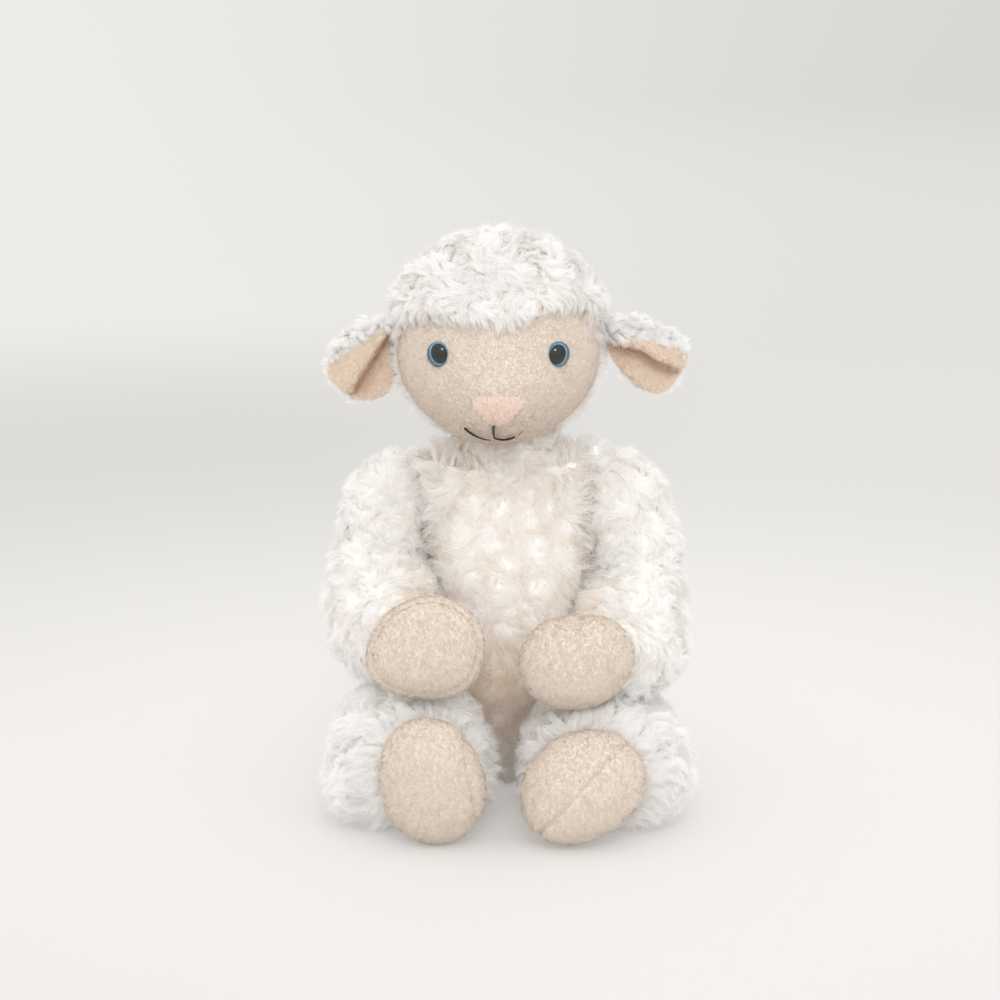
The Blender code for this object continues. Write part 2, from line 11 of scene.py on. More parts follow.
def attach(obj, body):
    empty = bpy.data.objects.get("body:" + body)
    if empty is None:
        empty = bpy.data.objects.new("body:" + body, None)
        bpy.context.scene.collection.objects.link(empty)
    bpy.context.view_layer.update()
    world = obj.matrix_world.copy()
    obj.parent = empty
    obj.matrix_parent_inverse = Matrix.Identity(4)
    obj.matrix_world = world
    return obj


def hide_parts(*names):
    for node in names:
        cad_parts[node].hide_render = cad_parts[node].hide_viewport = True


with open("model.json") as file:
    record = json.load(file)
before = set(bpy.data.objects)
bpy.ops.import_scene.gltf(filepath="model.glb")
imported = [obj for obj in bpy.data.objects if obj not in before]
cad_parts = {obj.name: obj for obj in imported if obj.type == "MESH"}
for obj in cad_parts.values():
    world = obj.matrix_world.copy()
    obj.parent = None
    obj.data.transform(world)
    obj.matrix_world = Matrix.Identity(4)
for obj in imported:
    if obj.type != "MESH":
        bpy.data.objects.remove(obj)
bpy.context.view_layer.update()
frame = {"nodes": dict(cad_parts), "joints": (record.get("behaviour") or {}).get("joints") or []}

sides = {"left": 1, "right": -1}
joint_places = {joint["name"]: Vector(joint["pos_m"]) for joint in frame["joints"]}

# The sizes of the sewn forms, the same as in the part. Each skin lies at about half the depth of its pile.
torso_height = 0.141
neck_forward = 0.006
neck_lift = 0.005
head_half = (0.0445, 0.043, 0.0455)
head_lift = 0.0595
head_forward = 0.012
head_aside = -0.0037
neck_radius = 0.026
bed_drop = -0.0006

# The part stands with its box in the middle, so its own middle is a little off
stand = joint_places["head_turn"] - Vector((0, -neck_forward, torso_height + neck_lift))
head_centre = np.array(stand + Vector((head_aside, -head_forward, torso_height + head_lift)))


def here(x, y, z):
    return np.array([x, y, z]) + np.array(stand)


def to_side(side, x, y, z):
    return here(sides[side] * x, y, z)


# Sewn forms, as points and faces

def through(points, share):
    """Points at shares of the way along a smooth curve through the given ones. Numbers work as well."""
    points = np.asarray(points, float)
    spans = len(points) - 1
    place = np.clip(share, 0, 1) * spans
    first = np.minimum(place.astype(int), spans - 1)
    t = place - first
    if points.ndim > 1:
        t = t[:, None]
    before = points[np.maximum(first - 1, 0)]
    start = points[first]
    end = points[first + 1]
    after = points[np.minimum(first + 2, spans)]
    return 0.5 * (
        2 * start
        + (end - before) * t
        + (2 * before - 5 * start + 4 * end - after) * t * t
        + (3 * start - 3 * end + after - before) * t * t * t
    )


def unit(vectors):
    return vectors / np.maximum(np.linalg.norm(vectors, axis=-1, keepdims=True), 1e-12)


def rings_to_form(start, rings, end):
    """A closed form from rings of points between two end points."""
    rows, facets, _ = rings.shape
    places = np.vstack([start[None], rings.reshape(-1, 3), end[None]])
    last = len(places) - 1
    faces = []
    for k in range(facets):
        n = (k + 1) % facets
        faces.append((0, 1 + n, 1 + k))
        faces.append((last, last - facets + k, last - facets + n))
        for row in range(rows - 1):
            a = 1 + row * facets
            faces.append((a + k, a + n, a + facets + n, a + facets + k))
    return places, faces


def stuffed_tube(spine, widths, depths, caps, lateral, grow=0.0, facets=56, cap_rows=9, body_rows=30, flatness=1.0):
    """A stuffed tube with round ends, as the part draws it, but fine."""
    quarter = np.pi / 2
    rise = np.concatenate([
        np.linspace(0, quarter, cap_rows + 1)[1:],
        np.full(body_rows - 1, quarter),
        np.linspace(quarter, 0, cap_rows + 1)[:-1],
    ])
    share = np.concatenate([np.zeros(cap_rows), np.arange(1, body_rows) / body_rows, np.ones(cap_rows)])
    first = np.arange(len(rise)) < cap_rows
    cap = np.where(first, caps[0], caps[1]) + grow
    onward = np.maximum(np.cos(rise), 0) ** flatness * cap * np.where(first, -1, 1)
    onward[(rise > quarter - 1e-9)] = 0
    middle = through(spine, share)
    step = 1 / 60
    tangent = unit(through(spine, share + step) - through(spine, share - step))
    lateral = np.asarray(lateral, float)
    side = unit(lateral - (tangent @ lateral)[:, None] * tangent)
    other = np.cross(tangent, side)
    half_width = (through(widths, share) + grow) * np.sin(rise)
    half_depth = (through(depths, share) + grow) * np.sin(rise)
    around = np.arange(facets) * 2 * np.pi / facets
    rings = (
        (middle + tangent * onward[:, None])[:, None]
        + side[:, None] * (half_width[:, None] * np.cos(around))[..., None]
        + other[:, None] * (half_depth[:, None] * np.sin(around))[..., None]
    )
    start = middle[0] - tangent[0] * (caps[0] + grow)
    end = middle[-1] + tangent[-1] * (caps[1] + grow)
    return rings_to_form(start, rings, end)


def stuffed_ball(centre, radii, grow=0.0, turn=None, shape=None, facets=56, rows=36):
    """A stuffed ball with three radii. shape moves its points about the centre."""
    rise = np.arange(1, rows) * np.pi / rows
    around = np.arange(facets) * 2 * np.pi / facets
    rings = np.stack([
        np.sin(rise)[:, None] * np.cos(around),
        np.sin(rise)[:, None] * np.sin(around),
        -np.cos(rise)[:, None] * np.ones(facets),
    ], -1)
    ends = np.array([[0, 0, -1], [0, 0, 1]], float)
    radii = np.array(radii) + grow
    rings = rings * radii
    ends = ends * radii
    if shape:
        rings = shape(rings)
        ends = shape(ends)
    if turn is not None:
        rings = rings @ turn.T
        ends = ends @ turn.T
    return rings_to_form(centre + ends[0], centre + rings, centre + ends[1])


def fan(faces):
    """The faces as triangles."""
    return np.array([(face[0], face[i], face[i + 1]) for face in faces for i in range(1, len(face) - 1)])


def flats(form):
    """A form's triangles, their corners, and their own normals, which are twice as long as their areas."""
    places, faces = form
    triangles = fan(faces)
    corners = places[triangles]
    return triangles, corners, np.cross(corners[:, 1] - corners[:, 0], corners[:, 2] - corners[:, 0])


def point_normals(form):
    triangles, _, flat = flats(form)
    normals = np.zeros_like(form[0])
    for i in range(3):
        np.add.at(normals, triangles[:, i], flat)
    return unit(normals)


def lumps(places, size, seed):
    """A smooth random number from about -1 to 1 at each place, from a few crossing waves."""
    rng = np.random.default_rng(seed)
    total = np.zeros(len(places))
    for _ in range(9):
        way = unit(rng.normal(size=3)) * 2 * np.pi / size * rng.uniform(0.6, 1.5)
        total += np.sin(places @ way + rng.uniform(0, 2 * np.pi))
    return total / 3


def plump(form, size, height, seed):
    """The form with soft lumps, as a stuffed skin has."""
    places, faces = form
    normals = point_normals(form)
    return places + normals * (lumps(places, size, seed) * height)[:, None], faces


# Shaders

class Value:
    """A shader number, colour or vector. Its operators add Math nodes."""

    def __init__(self, nodes, socket):
        self.nodes = nodes
        self.socket = socket

    def math(self, operation, *others):
        return self.nodes.math(operation, self, *others)

    def __add__(self, other):
        return self.math("ADD", other)

    def __sub__(self, other):
        return self.math("SUBTRACT", other)

    def __rsub__(self, other):
        return self.nodes.math("SUBTRACT", other, self)

    def __mul__(self, other):
        return self.math("MULTIPLY", other)

    def __truediv__(self, other):
        return self.math("DIVIDE", other)

    __radd__ = __add__
    __rmul__ = __mul__

    def clamped(self):
        return self.math("MAXIMUM", 0).math("MINIMUM", 1)

    def step(self, low, high):
        """From 0 to 1, softly, as this goes from low to high."""
        return self.nodes.node("ShaderNodeMapRange", {"interpolation_type": "SMOOTHSTEP"},
                               {"Value": self, "From Min": low, "From Max": high})


class Nodes:
    """The nodes of a material or of the world."""

    def __init__(self, owner):
        owner.use_nodes = True
        self.tree = owner.node_tree

    def feed(self, socket, value):
        if isinstance(value, Value):
            self.tree.links.new(value.socket, socket)
        elif isinstance(value, tuple) and len(value) == 3 and socket.type == "RGBA":
            socket.default_value = (*value, 1)
        else:
            socket.default_value = value

    def node(self, kind, settings=None, sockets=None, give=0):
        """A node of this kind: its settings first, then the values or links of its sockets."""
        made = self.tree.nodes.new(kind)
        for name, setting in (settings or {}).items():
            setattr(made, name, setting)
        for name, value in (sockets or {}).items():
            self.feed(made.inputs[name], value)
        return Value(self, made.outputs[give])

    def math(self, operation, *values):
        return self.node("ShaderNodeMath", {"operation": operation}, dict(enumerate(values)))

    def vector(self, operation, *values, give=0):
        return self.node("ShaderNodeVectorMath", {"operation": operation}, dict(enumerate(values)), give)

    def length(self, value):
        return self.vector("LENGTH", value, give="Value")

    def mix(self, share, first, second):
        return self.node("ShaderNodeMix", {"data_type": "RGBA"},
                         {"Factor": share, 6: first, 7: second}, give=2)

    def show(self, output, shader):
        self.tree.links.new(shader.socket, self.tree.nodes[output].inputs["Surface"])

    def aside(self, way):
        """0 on the left of the backdrop to 1 on its right, for a direction over the floor."""
        flat = self.vector("MULTIPLY", way, (1, 1, 0))
        length = self.length(flat)
        return (self.node("ShaderNodeSeparateXYZ", None, {0: flat}) / length).step(-0.25, 0.28)

    def far_off(self, way):
        """The backdrop's colour in a direction over the floor: darker to the right."""
        return self.mix(self.aside(way), (0.85, 0.84, 0.81), (0.69, 0.68, 0.655))


class Finish(Nodes):
    """A material in the making, with its Principled shader."""

    def __init__(self, name, **constants):
        self.material = bpy.data.materials.new(name)
        super().__init__(self.material)
        self.shader = self.tree.nodes["Principled BSDF"]
        for socket, value in constants.items():
            self.feed(self.shader.inputs[socket.replace("_", " ")], value)

    def place(self):
        """Where the point is on the resting object."""
        return self.node("ShaderNodeTexCoord", give="Object")

    def noise(self, size, detail=2.0, roughness=0.5):
        return self.node("ShaderNodeTexNoise", None, {
            "Vector": self.place(), "Scale": 1 / size, "Detail": detail, "Roughness": roughness})

    def attribute(self, name):
        return self.node("ShaderNodeAttribute", {"attribute_name": name}, give="Fac")

    def bump(self, height, strength, distance):
        normal = self.node("ShaderNodeBump", None,
                           {"Strength": strength, "Distance": distance, "Height": height})
        self.feed(self.shader.inputs["Normal"], normal)

    def blend(self, share, first, second):
        return self.node("ShaderNodeMixShader", None, {0: share, 1: first, 2: second})

    def thin(self, colour):
        """What thin fibres of one colour let through."""
        return self.node("ShaderNodeBsdfTranslucent", None, {"Color": colour})

    def colour(self, value, through=None, share=0.0):
        """Sets the colour, and the share of light that thin fibres let through."""
        self.feed(self.shader.inputs["Base Color"], value)
        if through:
            self.show("Material Output", self.blend(share, Value(self, self.shader.outputs[0]), through))
        return self.material


whitest_wool = 0.992
wool_on_average = (0.970, 0.962, 0.953)
# Painted shade: the peach that the creases between rosettes are painted with
crease_shade_peach = (0.96, 0.915, 0.865)
# Painted shade: the peach that hollows beside the arms and in the lap are painted with
hollow_shade_peach = (0.97, 0.90, 0.82)
wool_lets_through = 0.55


def wool_finish(name, painted_lightening, painted_hollow_shade):
    """Curly wool. From 0 to 1, the first number takes its tones towards white, which is painted light, and the second
    those of its hollows towards peach, which is painted shade.
    """
    finish = Finish(name, Roughness=0.9, Specular_IOR_Level=0.15)

    # Painted light: the tones are taken towards white for parts that get less light
    def tone(*colour):
        return tuple(part + (whitest_wool - part) * painted_lightening for part in colour)

    along = finish.attribute("along")
    tuft = finish.attribute("tuft")
    valley = finish.attribute("valley")
    patch = finish.noise(0.02, 1.0).step(0.35, 0.65)
    pale = finish.mix(patch, tone(0.968, 0.965, 0.961), tone(0.974, 0.972, 0.969))
    # Painted shade: the fibres are warmer towards their roots, deep in the pile
    warm = finish.mix(tuft, tone(0.964, 0.945, 0.922), tone(0.972, 0.961, 0.948))
    crest = finish.mix(along.step(0.0, 0.7), warm, pale)
    # Painted shade: the creases between rosettes, most at the fibres' roots, are painted peach, in the colour and in
    # what the fibres let through
    crease = valley * 0.6 * (1 - along * 0.6)
    value = finish.mix(crease, crest, tone(*crease_shade_peach))
    through = finish.blend(crease, finish.thin(tone(*wool_on_average)), finish.thin(tone(*crease_shade_peach)))
    # Painted shade: the hollows beside the arms and in the lap, in front, are painted peach
    if painted_hollow_shade:
        out, back, up = (finish.node("ShaderNodeSeparateXYZ", None, {0: finish.place()}, give=way) for way in "XYZ")
        out = out.math("ABSOLUTE")
        near_arm = out.step(0.027, 0.033) * (1 - out.step(0.038, 0.046))
        near_arm = near_arm * up.step(0.05, 0.075) * (1 - up.step(0.105, 0.125)) * 0.5
        lap = (1 - up.step(0.05, 0.085)) * (1 - out.step(0.02, 0.035))
        in_front = 1 - back.step(-0.015, 0.010)
        hollow = near_arm.math("MAXIMUM", lap) * in_front * painted_hollow_shade
        value = finish.mix(hollow, value, hollow_shade_peach)
        through = finish.blend(hollow, through, finish.thin(hollow_shade_peach))
    return finish.colour(value, through, wool_lets_through)


def backing_finish():
    finish = Finish("under_wool", Roughness=0.95, Specular_IOR_Level=0.15)
    strand = finish.noise(0.0011, 3.0, 0.6)
    valley = finish.attribute("valley")
    finish.bump(strand, 0.7, 0.0008)
    tone = finish.mix(strand.step(0.3, 0.7), (0.968, 0.943, 0.915), (0.978, 0.967, 0.953))
    # Painted shade: the backing is painted peach in the creases between rosettes
    return finish.colour(finish.mix(valley * 0.6, tone, (0.96, 0.90, 0.835)))


nap_lets_through = 0.25


def velvet_finish(name, deep, mid, pale):
    finish = Finish(name, Roughness=0.85, Sheen_Weight=0.25, Sheen_Roughness=0.5)
    along = finish.attribute("along")
    tuft = finish.attribute("tuft")
    patch = finish.noise(0.006, 3.0).step(0.3, 0.7)
    tone = finish.mix(patch, mid, pale)
    tip = finish.mix(tuft * 0.4, tone, pale)
    # Painted shade: the nap is painted its deep colour at its roots and in folds, in its colour and in what it lets
    # through
    root = (1 - along.step(0.0, 0.7)).math("MAXIMUM", finish.attribute("valley"))
    on_average = tuple(0.4 * first + 0.6 * second for first, second in zip(mid, pale))
    through = finish.blend(root, finish.thin(on_average), finish.thin(deep))
    return finish.colour(finish.mix(root, tip, deep), through, nap_lets_through)


def velvet_base_finish(name, deep, mid):
    finish = Finish(name, Roughness=0.9, Sheen_Weight=0.2, Sheen_Roughness=0.5)
    grain = finish.noise(0.0009, 3.0, 0.6)
    finish.bump(grain, 0.8, 0.0006)
    return finish.colour(finish.mix(grain.step(0.35, 0.65), deep, mid))


pupil_radius = 0.0042
blue_ring_radius = 0.0051
dome_middle_sunk = 0.0019


def eye_finish(centre, axis, forward):
    """A black pupil, a thin blue ring and a dark rim, painted behind a clear dome that looks forward.

    The dome is round, so its gloss is that of a ball.
    """
    finish = Finish("gloss_eye", Roughness=0.05, Specular_IOR_Level=0.75)
    ball = tuple(np.array(centre) - dome_middle_sunk * np.array(axis))
    outward = finish.vector("SUBTRACT", finish.place(), ball)
    outward = finish.node("ShaderNodeVectorTransform", {"vector_type": "NORMAL", "convert_from": "OBJECT",
                                                        "convert_to": "WORLD"}, {0: outward})
    finish.feed(finish.shader.inputs["Normal"], outward)
    offset = finish.vector("SUBTRACT", finish.place(), centre)
    height = finish.vector("DOT_PRODUCT", offset, tuple(np.array(axis) / np.dot(axis, forward)), give="Value")
    shift = finish.node("ShaderNodeVectorMath", {"operation": "SCALE"}, {0: forward, "Scale": height})
    radius = finish.length(finish.vector("SUBTRACT", offset, shift))
    streaks = finish.noise(0.0012, 2.0)
    blue = finish.mix(streaks.step(0.3, 0.7), (0.07, 0.20, 0.32), (0.14, 0.30, 0.42))
    ring = finish.mix(radius.step(pupil_radius, pupil_radius + 0.0002), (0.008, 0.008, 0.009), blue)
    rim = radius.step(blue_ring_radius, blue_ring_radius + 0.0002)
    return finish.colour(finish.mix(rim, ring, (0.03, 0.06, 0.09)))


def plain_finish(name, first, second, size, roughness, bump=0.3):
    finish = Finish(name, Roughness=roughness)
    grain = finish.noise(size, 3.0)
    finish.bump(grain, bump, size / 3)
    return finish.colour(finish.mix(grain.step(0.3, 0.7), first, second))


# Copies of the one curly wool: all but the torso's are painted lighter, which is painted light, and the torso's and
# arms' are painted peach in their hollows, which is painted shade
wool = wool_finish("curly_wool", 0.0, 0.8)
lightened_wool = wool_finish("curly_wool_painted_lighter", 0.65, 0.0)
leg_wool = wool_finish("leg_wool", 0.85, 0.0)
arm_wool = wool_finish("arm_wool", 0.65, 0.5)
backing = backing_finish()
# The deep colours are painted shade at the roots of the nap, and in the ear's fold for the lining
face_pile = velvet_finish("face_velvet", (0.785, 0.70, 0.62), (0.795, 0.725, 0.65), (0.835, 0.775, 0.71))
paw_pile = velvet_finish("paw_velvet", (0.73, 0.64, 0.55), (0.77, 0.695, 0.615), (0.825, 0.77, 0.705))
lining_pile = velvet_finish("lining_velvet", (0.78, 0.60, 0.45), (0.925, 0.835, 0.715), (0.95, 0.885, 0.785))
pink_pile = velvet_finish("nose_velvet", (0.90, 0.79, 0.72), (0.92, 0.84, 0.78), (0.94, 0.88, 0.83))
face_base = velvet_base_finish("face_cloth", (0.74, 0.65, 0.56), (0.82, 0.75, 0.68))
paw_base = velvet_base_finish("paw_cloth", (0.72, 0.63, 0.54), (0.80, 0.73, 0.655))
lining_base = velvet_base_finish("lining_cloth", (0.80, 0.69, 0.575), (0.89, 0.80, 0.70))
pink_base = velvet_base_finish("nose_cloth", (0.91, 0.74, 0.67), (0.95, 0.82, 0.76))
thread = plain_finish("mouth_thread", (0.006, 0.006, 0.008), (0.03, 0.03, 0.035), 0.0004, 0.6)
filling = plain_finish("polyester_filling", (0.86, 0.86, 0.85), (0.95, 0.95, 0.94), 0.003, 1.0, 0.8)
pellet_cloth = plain_finish("pellet_bag_cloth", (0.72, 0.72, 0.68), (0.84, 0.84, 0.80), 0.0015, 0.85, 0.5)
washer_plastic = plain_finish("washer_plastic", (0.80, 0.81, 0.81), (0.88, 0.89, 0.89), 0.002, 0.4, 0.1)


# Pieces

def add_thing(name, data):
    thing = bpy.data.objects.new(name, data)
    bpy.context.scene.collection.objects.link(thing)
    return thing


def add_piece(name, body, mesh, material):
    thing = add_thing(name, mesh)
    mesh.materials.append(material)
    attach(thing, body)
    return thing


def form_piece(name, body, form, material):
    places, faces = form
    mesh = bpy.data.meshes.new(name)
    mesh.from_pydata([tuple(place) for place in places], [], [tuple(int(i) for i in face) for face in faces])
    mesh.update()
    mesh.shade_smooth()
    return add_piece(name, body, mesh, material)


elsewhere = 1e-9  # how likely a fibre is where none is wanted, so that the shares never add up to nothing


def roots_on(form, count, rng, likely=None):
    """Random places on the form with their normals. likely gives how likely each triangle is."""
    normals = point_normals(form)
    triangles, corners, flat = flats(form)
    area = np.linalg.norm(flat, axis=1) / 2
    if likely:
        area = area * (likely(corners.mean(1), unit(normals[triangles].mean(1))) + elsewhere)
    picked = rng.choice(len(triangles), count, p=area / area.sum())
    u, v = rng.random((2, count))
    over = u + v > 1
    u[over] = 1 - u[over]
    v[over] = 1 - v[over]
    weights = np.stack([1 - u - v, u, v], 1)[..., None]
    return (corners[picked] * weights).sum(1), unit((normals[triangles[picked]] * weights).sum(1))


def spaced(places, gap, most):
    """The indices of places that lie at least gap apart."""
    kept = np.empty((most, 3))
    chosen = []
    for i, place in enumerate(places):
        n = len(chosen)
        if n and ((kept[:n] - place) ** 2).sum(1).min() < gap * gap:
            continue
        kept[n] = place
        chosen.append(i)
        if n + 1 == most:
            break
    return np.array(chosen)


def point_tree(points):
    tree = KDTree(len(points))
    for i, point in enumerate(points):
        tree.insert(point, i)
    tree.balance()
    return tree


def flat_to(normals, vectors):
    return vectors - (vectors * normals).sum(1)[:, None] * normals


def two_nearest(points, places):
    """For each place, the nearest point's number and how much farther the second nearest is."""
    tree = point_tree(points)
    found = [tree.find_n(place, 2) for place in places]
    return np.array([pair[0][1] for pair in found]), np.array([pair[-1][2] - pair[0][2] for pair in found])


class Rosettes:
    """The round tufts of curly wool on a form, each turning one way or the other."""

    def __init__(self, form, seed, gap=0.0125, closest_share=0.85):
        rng = np.random.default_rng(seed)
        self.gap = gap
        places, _ = roots_on(form, max(600, int(9 * area_guess(form, None) / gap**2)), rng)
        chosen = spaced(places, gap * closest_share, 3000)
        self.middles = places[chosen]
        self.turns = rng.choice([-1.0, 1.0], len(chosen))

    def valleys(self, places):
        """The nearest rosette, and 0 on a tuft to 1 in the crease between two."""
        number, beyond = two_nearest(self.middles, places)
        return number, 1 - ease(beyond, 0, 0.5 * self.gap)


def wool_bed(form, rosettes, relief=0.0009, dome_share=0.35):
    """The form, domed over each rosette and drawn in between them."""
    places, faces = form
    normals = point_normals(form)
    _, valley = rosettes.valleys(places)
    return places + normals * ((dome_share - valley) * relief)[:, None], faces, valley


def mark(mesh, name, values):
    """Keeps a number at each point of a mesh, for its shader."""
    mesh.attributes.new(name, "FLOAT", "POINT").data.foreach_set("value", values.astype(np.float32))


def area_guess(form, likely):
    _, corners, flat = flats(form)
    area = np.linalg.norm(flat, axis=1) / 2
    return (area * (likely(corners.mean(1), unit(flat)) + elsewhere if likely else 1)).sum()


def ease(value, low, high):
    """From 0 to 1, softly, as the value goes from low to high."""
    t = np.clip((value - low) / (high - low), 0, 1)
    return t * t * (3 - 2 * t)


def fade(value, low, high):
    """From 1 to 0, softly, as the value goes from low to high."""
    return ease(-value, -high, -low)


guide_points = 13
wild_share = 0.06


def grow_pile(name, body, form, finish, slot, count, seed, comb, likely=None, rosettes=None, length=0.0068,
              rise=0.35, width=0.00029, lock_gap=0.0025, curl=1.4, gather=0.16, frizz=0.0007, stations=4,
              crease=None):
    """A pile of tapered fibres on a form. They gather in locks, and the locks turn in rosettes.

    comb gives, at places with their normals: a length share, a way to lie, how much that way counts against
    the rosette, how much the locks curl, and how far they stand up. Each is the same all over or differs by
    place. crease gives how deep in a crease a place is, from 0 to 1, which the shaders paint as shade.
    """
    rng = np.random.default_rng(seed)
    area = area_guess(form, likely)
    tries, try_normals = roots_on(form, 5 * max(300, int(area / lock_gap**2)), rng, likely)
    locks = spaced(tries, lock_gap * 0.75, 9000)
    root, out = tries[locks], try_normals[locks]
    share, lay, laid, curls, lift = comb(root, out)
    laid = np.broadcast_to(laid, len(root))[:, None]
    stand_up = np.clip(rise * lift, 0, 0.92)
    if rosettes:
        near, valley = rosettes.valleys(root)
        turn = rosettes.turns[near][:, None]
        radial = unit(flat_to(out, root - rosettes.middles[near]))
        way = unit(np.cross(out, radial) * turn + 0.3 * radial + 0.5 * flat_to(out, rng.normal(size=root.shape)))
    else:
        valley = crease(root) if crease else np.zeros(len(root))
        turn = rng.choice([-1.0, 1.0], len(root))[:, None]
        way = unit(flat_to(out, rng.normal(size=root.shape)))
    lay = unit(flat_to(out, lay))
    way = unit(way * (1 - laid) + lay * laid)
    across = np.cross(out, way)
    reach = length * share * rng.uniform(0.85, 1.15, len(root)) * (1 + (0 if crease else 0.25) * valley)

    # The middle line of each lock, which its fibres follow
    fine = np.linspace(0, 1, guide_points)
    bend = (curls * curl * rng.uniform(0.4, 1.3, len(root)))[:, None] * turn * (fine - 0.25)
    steps = way[:, None] * np.cos(bend)[..., None] + across[:, None] * np.sin(bend)[..., None]
    steps = steps * (0.35 + fine)[None, :, None]
    sideways = np.cumsum(steps, 1) / (0.85 * len(fine))
    sideways = sideways - sideways[:, :1]
    upward = 1 - (1 - fine) ** 2
    guide = (
        root[:, None]
        + out[:, None] * (upward * (reach * stand_up)[:, None])[..., None]
        + sideways * (reach * np.sqrt(1 - stand_up**2))[:, None, None]
    )

    # The fibres of a lock start all over its patch and draw together towards its tip
    base, normal = roots_on(form, count, rng, likely)
    root_tree = point_tree(root)
    lock = np.array([root_tree.find(place)[1] for place in base])
    t = np.linspace(0, 1, stations)
    spare = rng.uniform(0.65, 1.05, count)
    far = np.clip(t[None] * spare[:, None], 0, 1) * (len(fine) - 1)
    low = np.minimum(far.astype(int), len(fine) - 2)
    part = (far - low)[..., None]
    path = guide[lock[:, None], low] * (1 - part) + guide[lock[:, None], low + 1] * part
    apart = (base - root[lock])[:, None] * (1 - gather * t**0.8)[None, :, None]
    loose = rng.normal(size=(count, 3))[:, None] * frizz * (t**1.2)[None, :, None]
    wild = (rng.random(count) < wild_share) * rng.uniform(0.3, 0.8, count) * length * rise
    fibre = path + apart + loose + normal[:, None] * (wild[:, None] * t**1.5)[..., None]
    fibre[..., 2] = np.maximum(fibre[..., 2], 0.0004 + 0.0006 * rng.random(count)[:, None] * t)
    along = unit(np.gradient(fibre, axis=1))
    flat = unit(np.cross(along, normal[:, None]))
    tilt = rng.uniform(-0.5, 0.5, count)[:, None, None]
    flat = flat * np.cos(tilt) + np.cross(along, flat) * np.sin(tilt)
    half = width / 2 * rng.uniform(0.7, 1.3, count)[:, None] * (1 - 0.9 * t**2)[None]

    # Two points at each station and one at the tip
    inner = stations - 1
    left = fibre[:, :inner] - flat[:, :inner] * half[:, :inner, None]
    right = fibre[:, :inner] + flat[:, :inner] * half[:, :inner, None]
    points = np.concatenate([np.stack([left, right], 2).reshape(count, -1, 3), fibre[:, -1:]], 1)
    per = 2 * inner + 1
    start = np.arange(count)[:, None] * per
    quads = [start + np.array([2 * i, 2 * i + 1, 2 * i + 3, 2 * i + 2]) for i in range(inner - 1)]
    corners = np.concatenate(quads + [start + np.array([per - 3, per - 2, per - 1])], 1)
    sizes = np.tile([4] * (inner - 1) + [3], count)

    mesh = bpy.data.meshes.new(name)
    mesh.vertices.add(count * per)
    mesh.vertices.foreach_set("co", points.reshape(-1))
    mesh.loops.add(corners.size)
    mesh.loops.foreach_set("vertex_index", corners.reshape(-1).astype(np.int32))
    mesh.polygons.add(len(sizes))
    mesh.polygons.foreach_set("loop_start", np.concatenate([[0], np.cumsum(sizes)[:-1]]).astype(np.int32))
    mesh.update(calc_edges=True)

    tint = np.clip(rng.random(len(root))[lock] * 0.6 + rng.random(count) * 0.4, 0, 1)
    heights = np.tile(np.append(np.repeat(t[:inner], 2), 1.0), count)
    mark(mesh, "along", heights)
    mark(mesh, "tuft", np.repeat(tint, per))
    # How deep in a crease each lock stands, which the shaders paint darker and warmer as painted shade
    mark(mesh, "valley", np.repeat(valley[lock], per))

    # On the picture map each lock has a cell of its own
    grid = math.ceil(math.sqrt(len(root)))
    cell = np.stack([lock % grid, lock // grid], 1)
    across_cell = np.tile(np.append(np.tile([0.1, 0.9], inner), 0.5), (count, 1))
    up_cell = np.tile(np.append(np.repeat(t[:inner], 2), 1.0) * 0.8 + 0.1, (count, 1))
    map_points = np.stack([cell[:, :1] + across_cell, cell[:, 1:] + up_cell], -1) / grid
    layer = mesh.uv_layers.new(name="OFBake")
    layer.uv.foreach_set("vector", map_points.reshape(-1, 2)[corners.reshape(-1)].reshape(-1).astype(np.float32))
    mesh.shade_smooth()
    return add_piece(name, body, mesh, finish)


def woolly(name, body, form, panels, seed, comb, node, fill, finish=wool, push=None, **settings):
    """A bed of under-wool in place of a sewn skin, and the pile that grows from each of its panels."""
    rosettes = Rosettes(form, seed)
    places, faces, valley = wool_bed(form, rosettes)
    if push:
        places = push(places)
    bed = form_piece(f"{name}_bed", body, (places, faces), backing)
    # How deep in the creases between rosettes the bed is, which its shader paints peach as painted shade
    mark(bed.data, "valley", valley)
    for i, (panel, (count, likely)) in enumerate(panels.items()):
        grow_pile(f"{name}_{panel}", body, (places, faces), finish, "wool", count, seed + 7 * i + 1, comb, likely,
                  rosettes, **settings)
    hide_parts(node)


def velvety(name, body, form, cloth_form, base, pile, count, seed, comb, node, end="", slot="velvet", **settings):
    """A cloth in place of a sewn skin, and the short nap on its form."""
    cloth = form_piece(f"{name}_cloth{end}", body, cloth_form, base)
    grow_pile(f"{name}_nap{end}", body, form, pile, slot, count, seed, comb, **settings)
    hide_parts(node)
    return cloth


def forward_of(places, normals):
    return (normals[:, 1] < 0)


def behind(places, normals):
    return (normals[:, 1] >= 0)


down = np.array([0, 0, -1.0])
nap = dict(length=0.0012, rise=0.5, width=0.00019, lock_gap=0.0012, curl=0.3, gather=0.08, frizz=0.00012,
           stations=3)
fine_nap = dict(nap, length=0.0011, width=0.00018)


# Torso

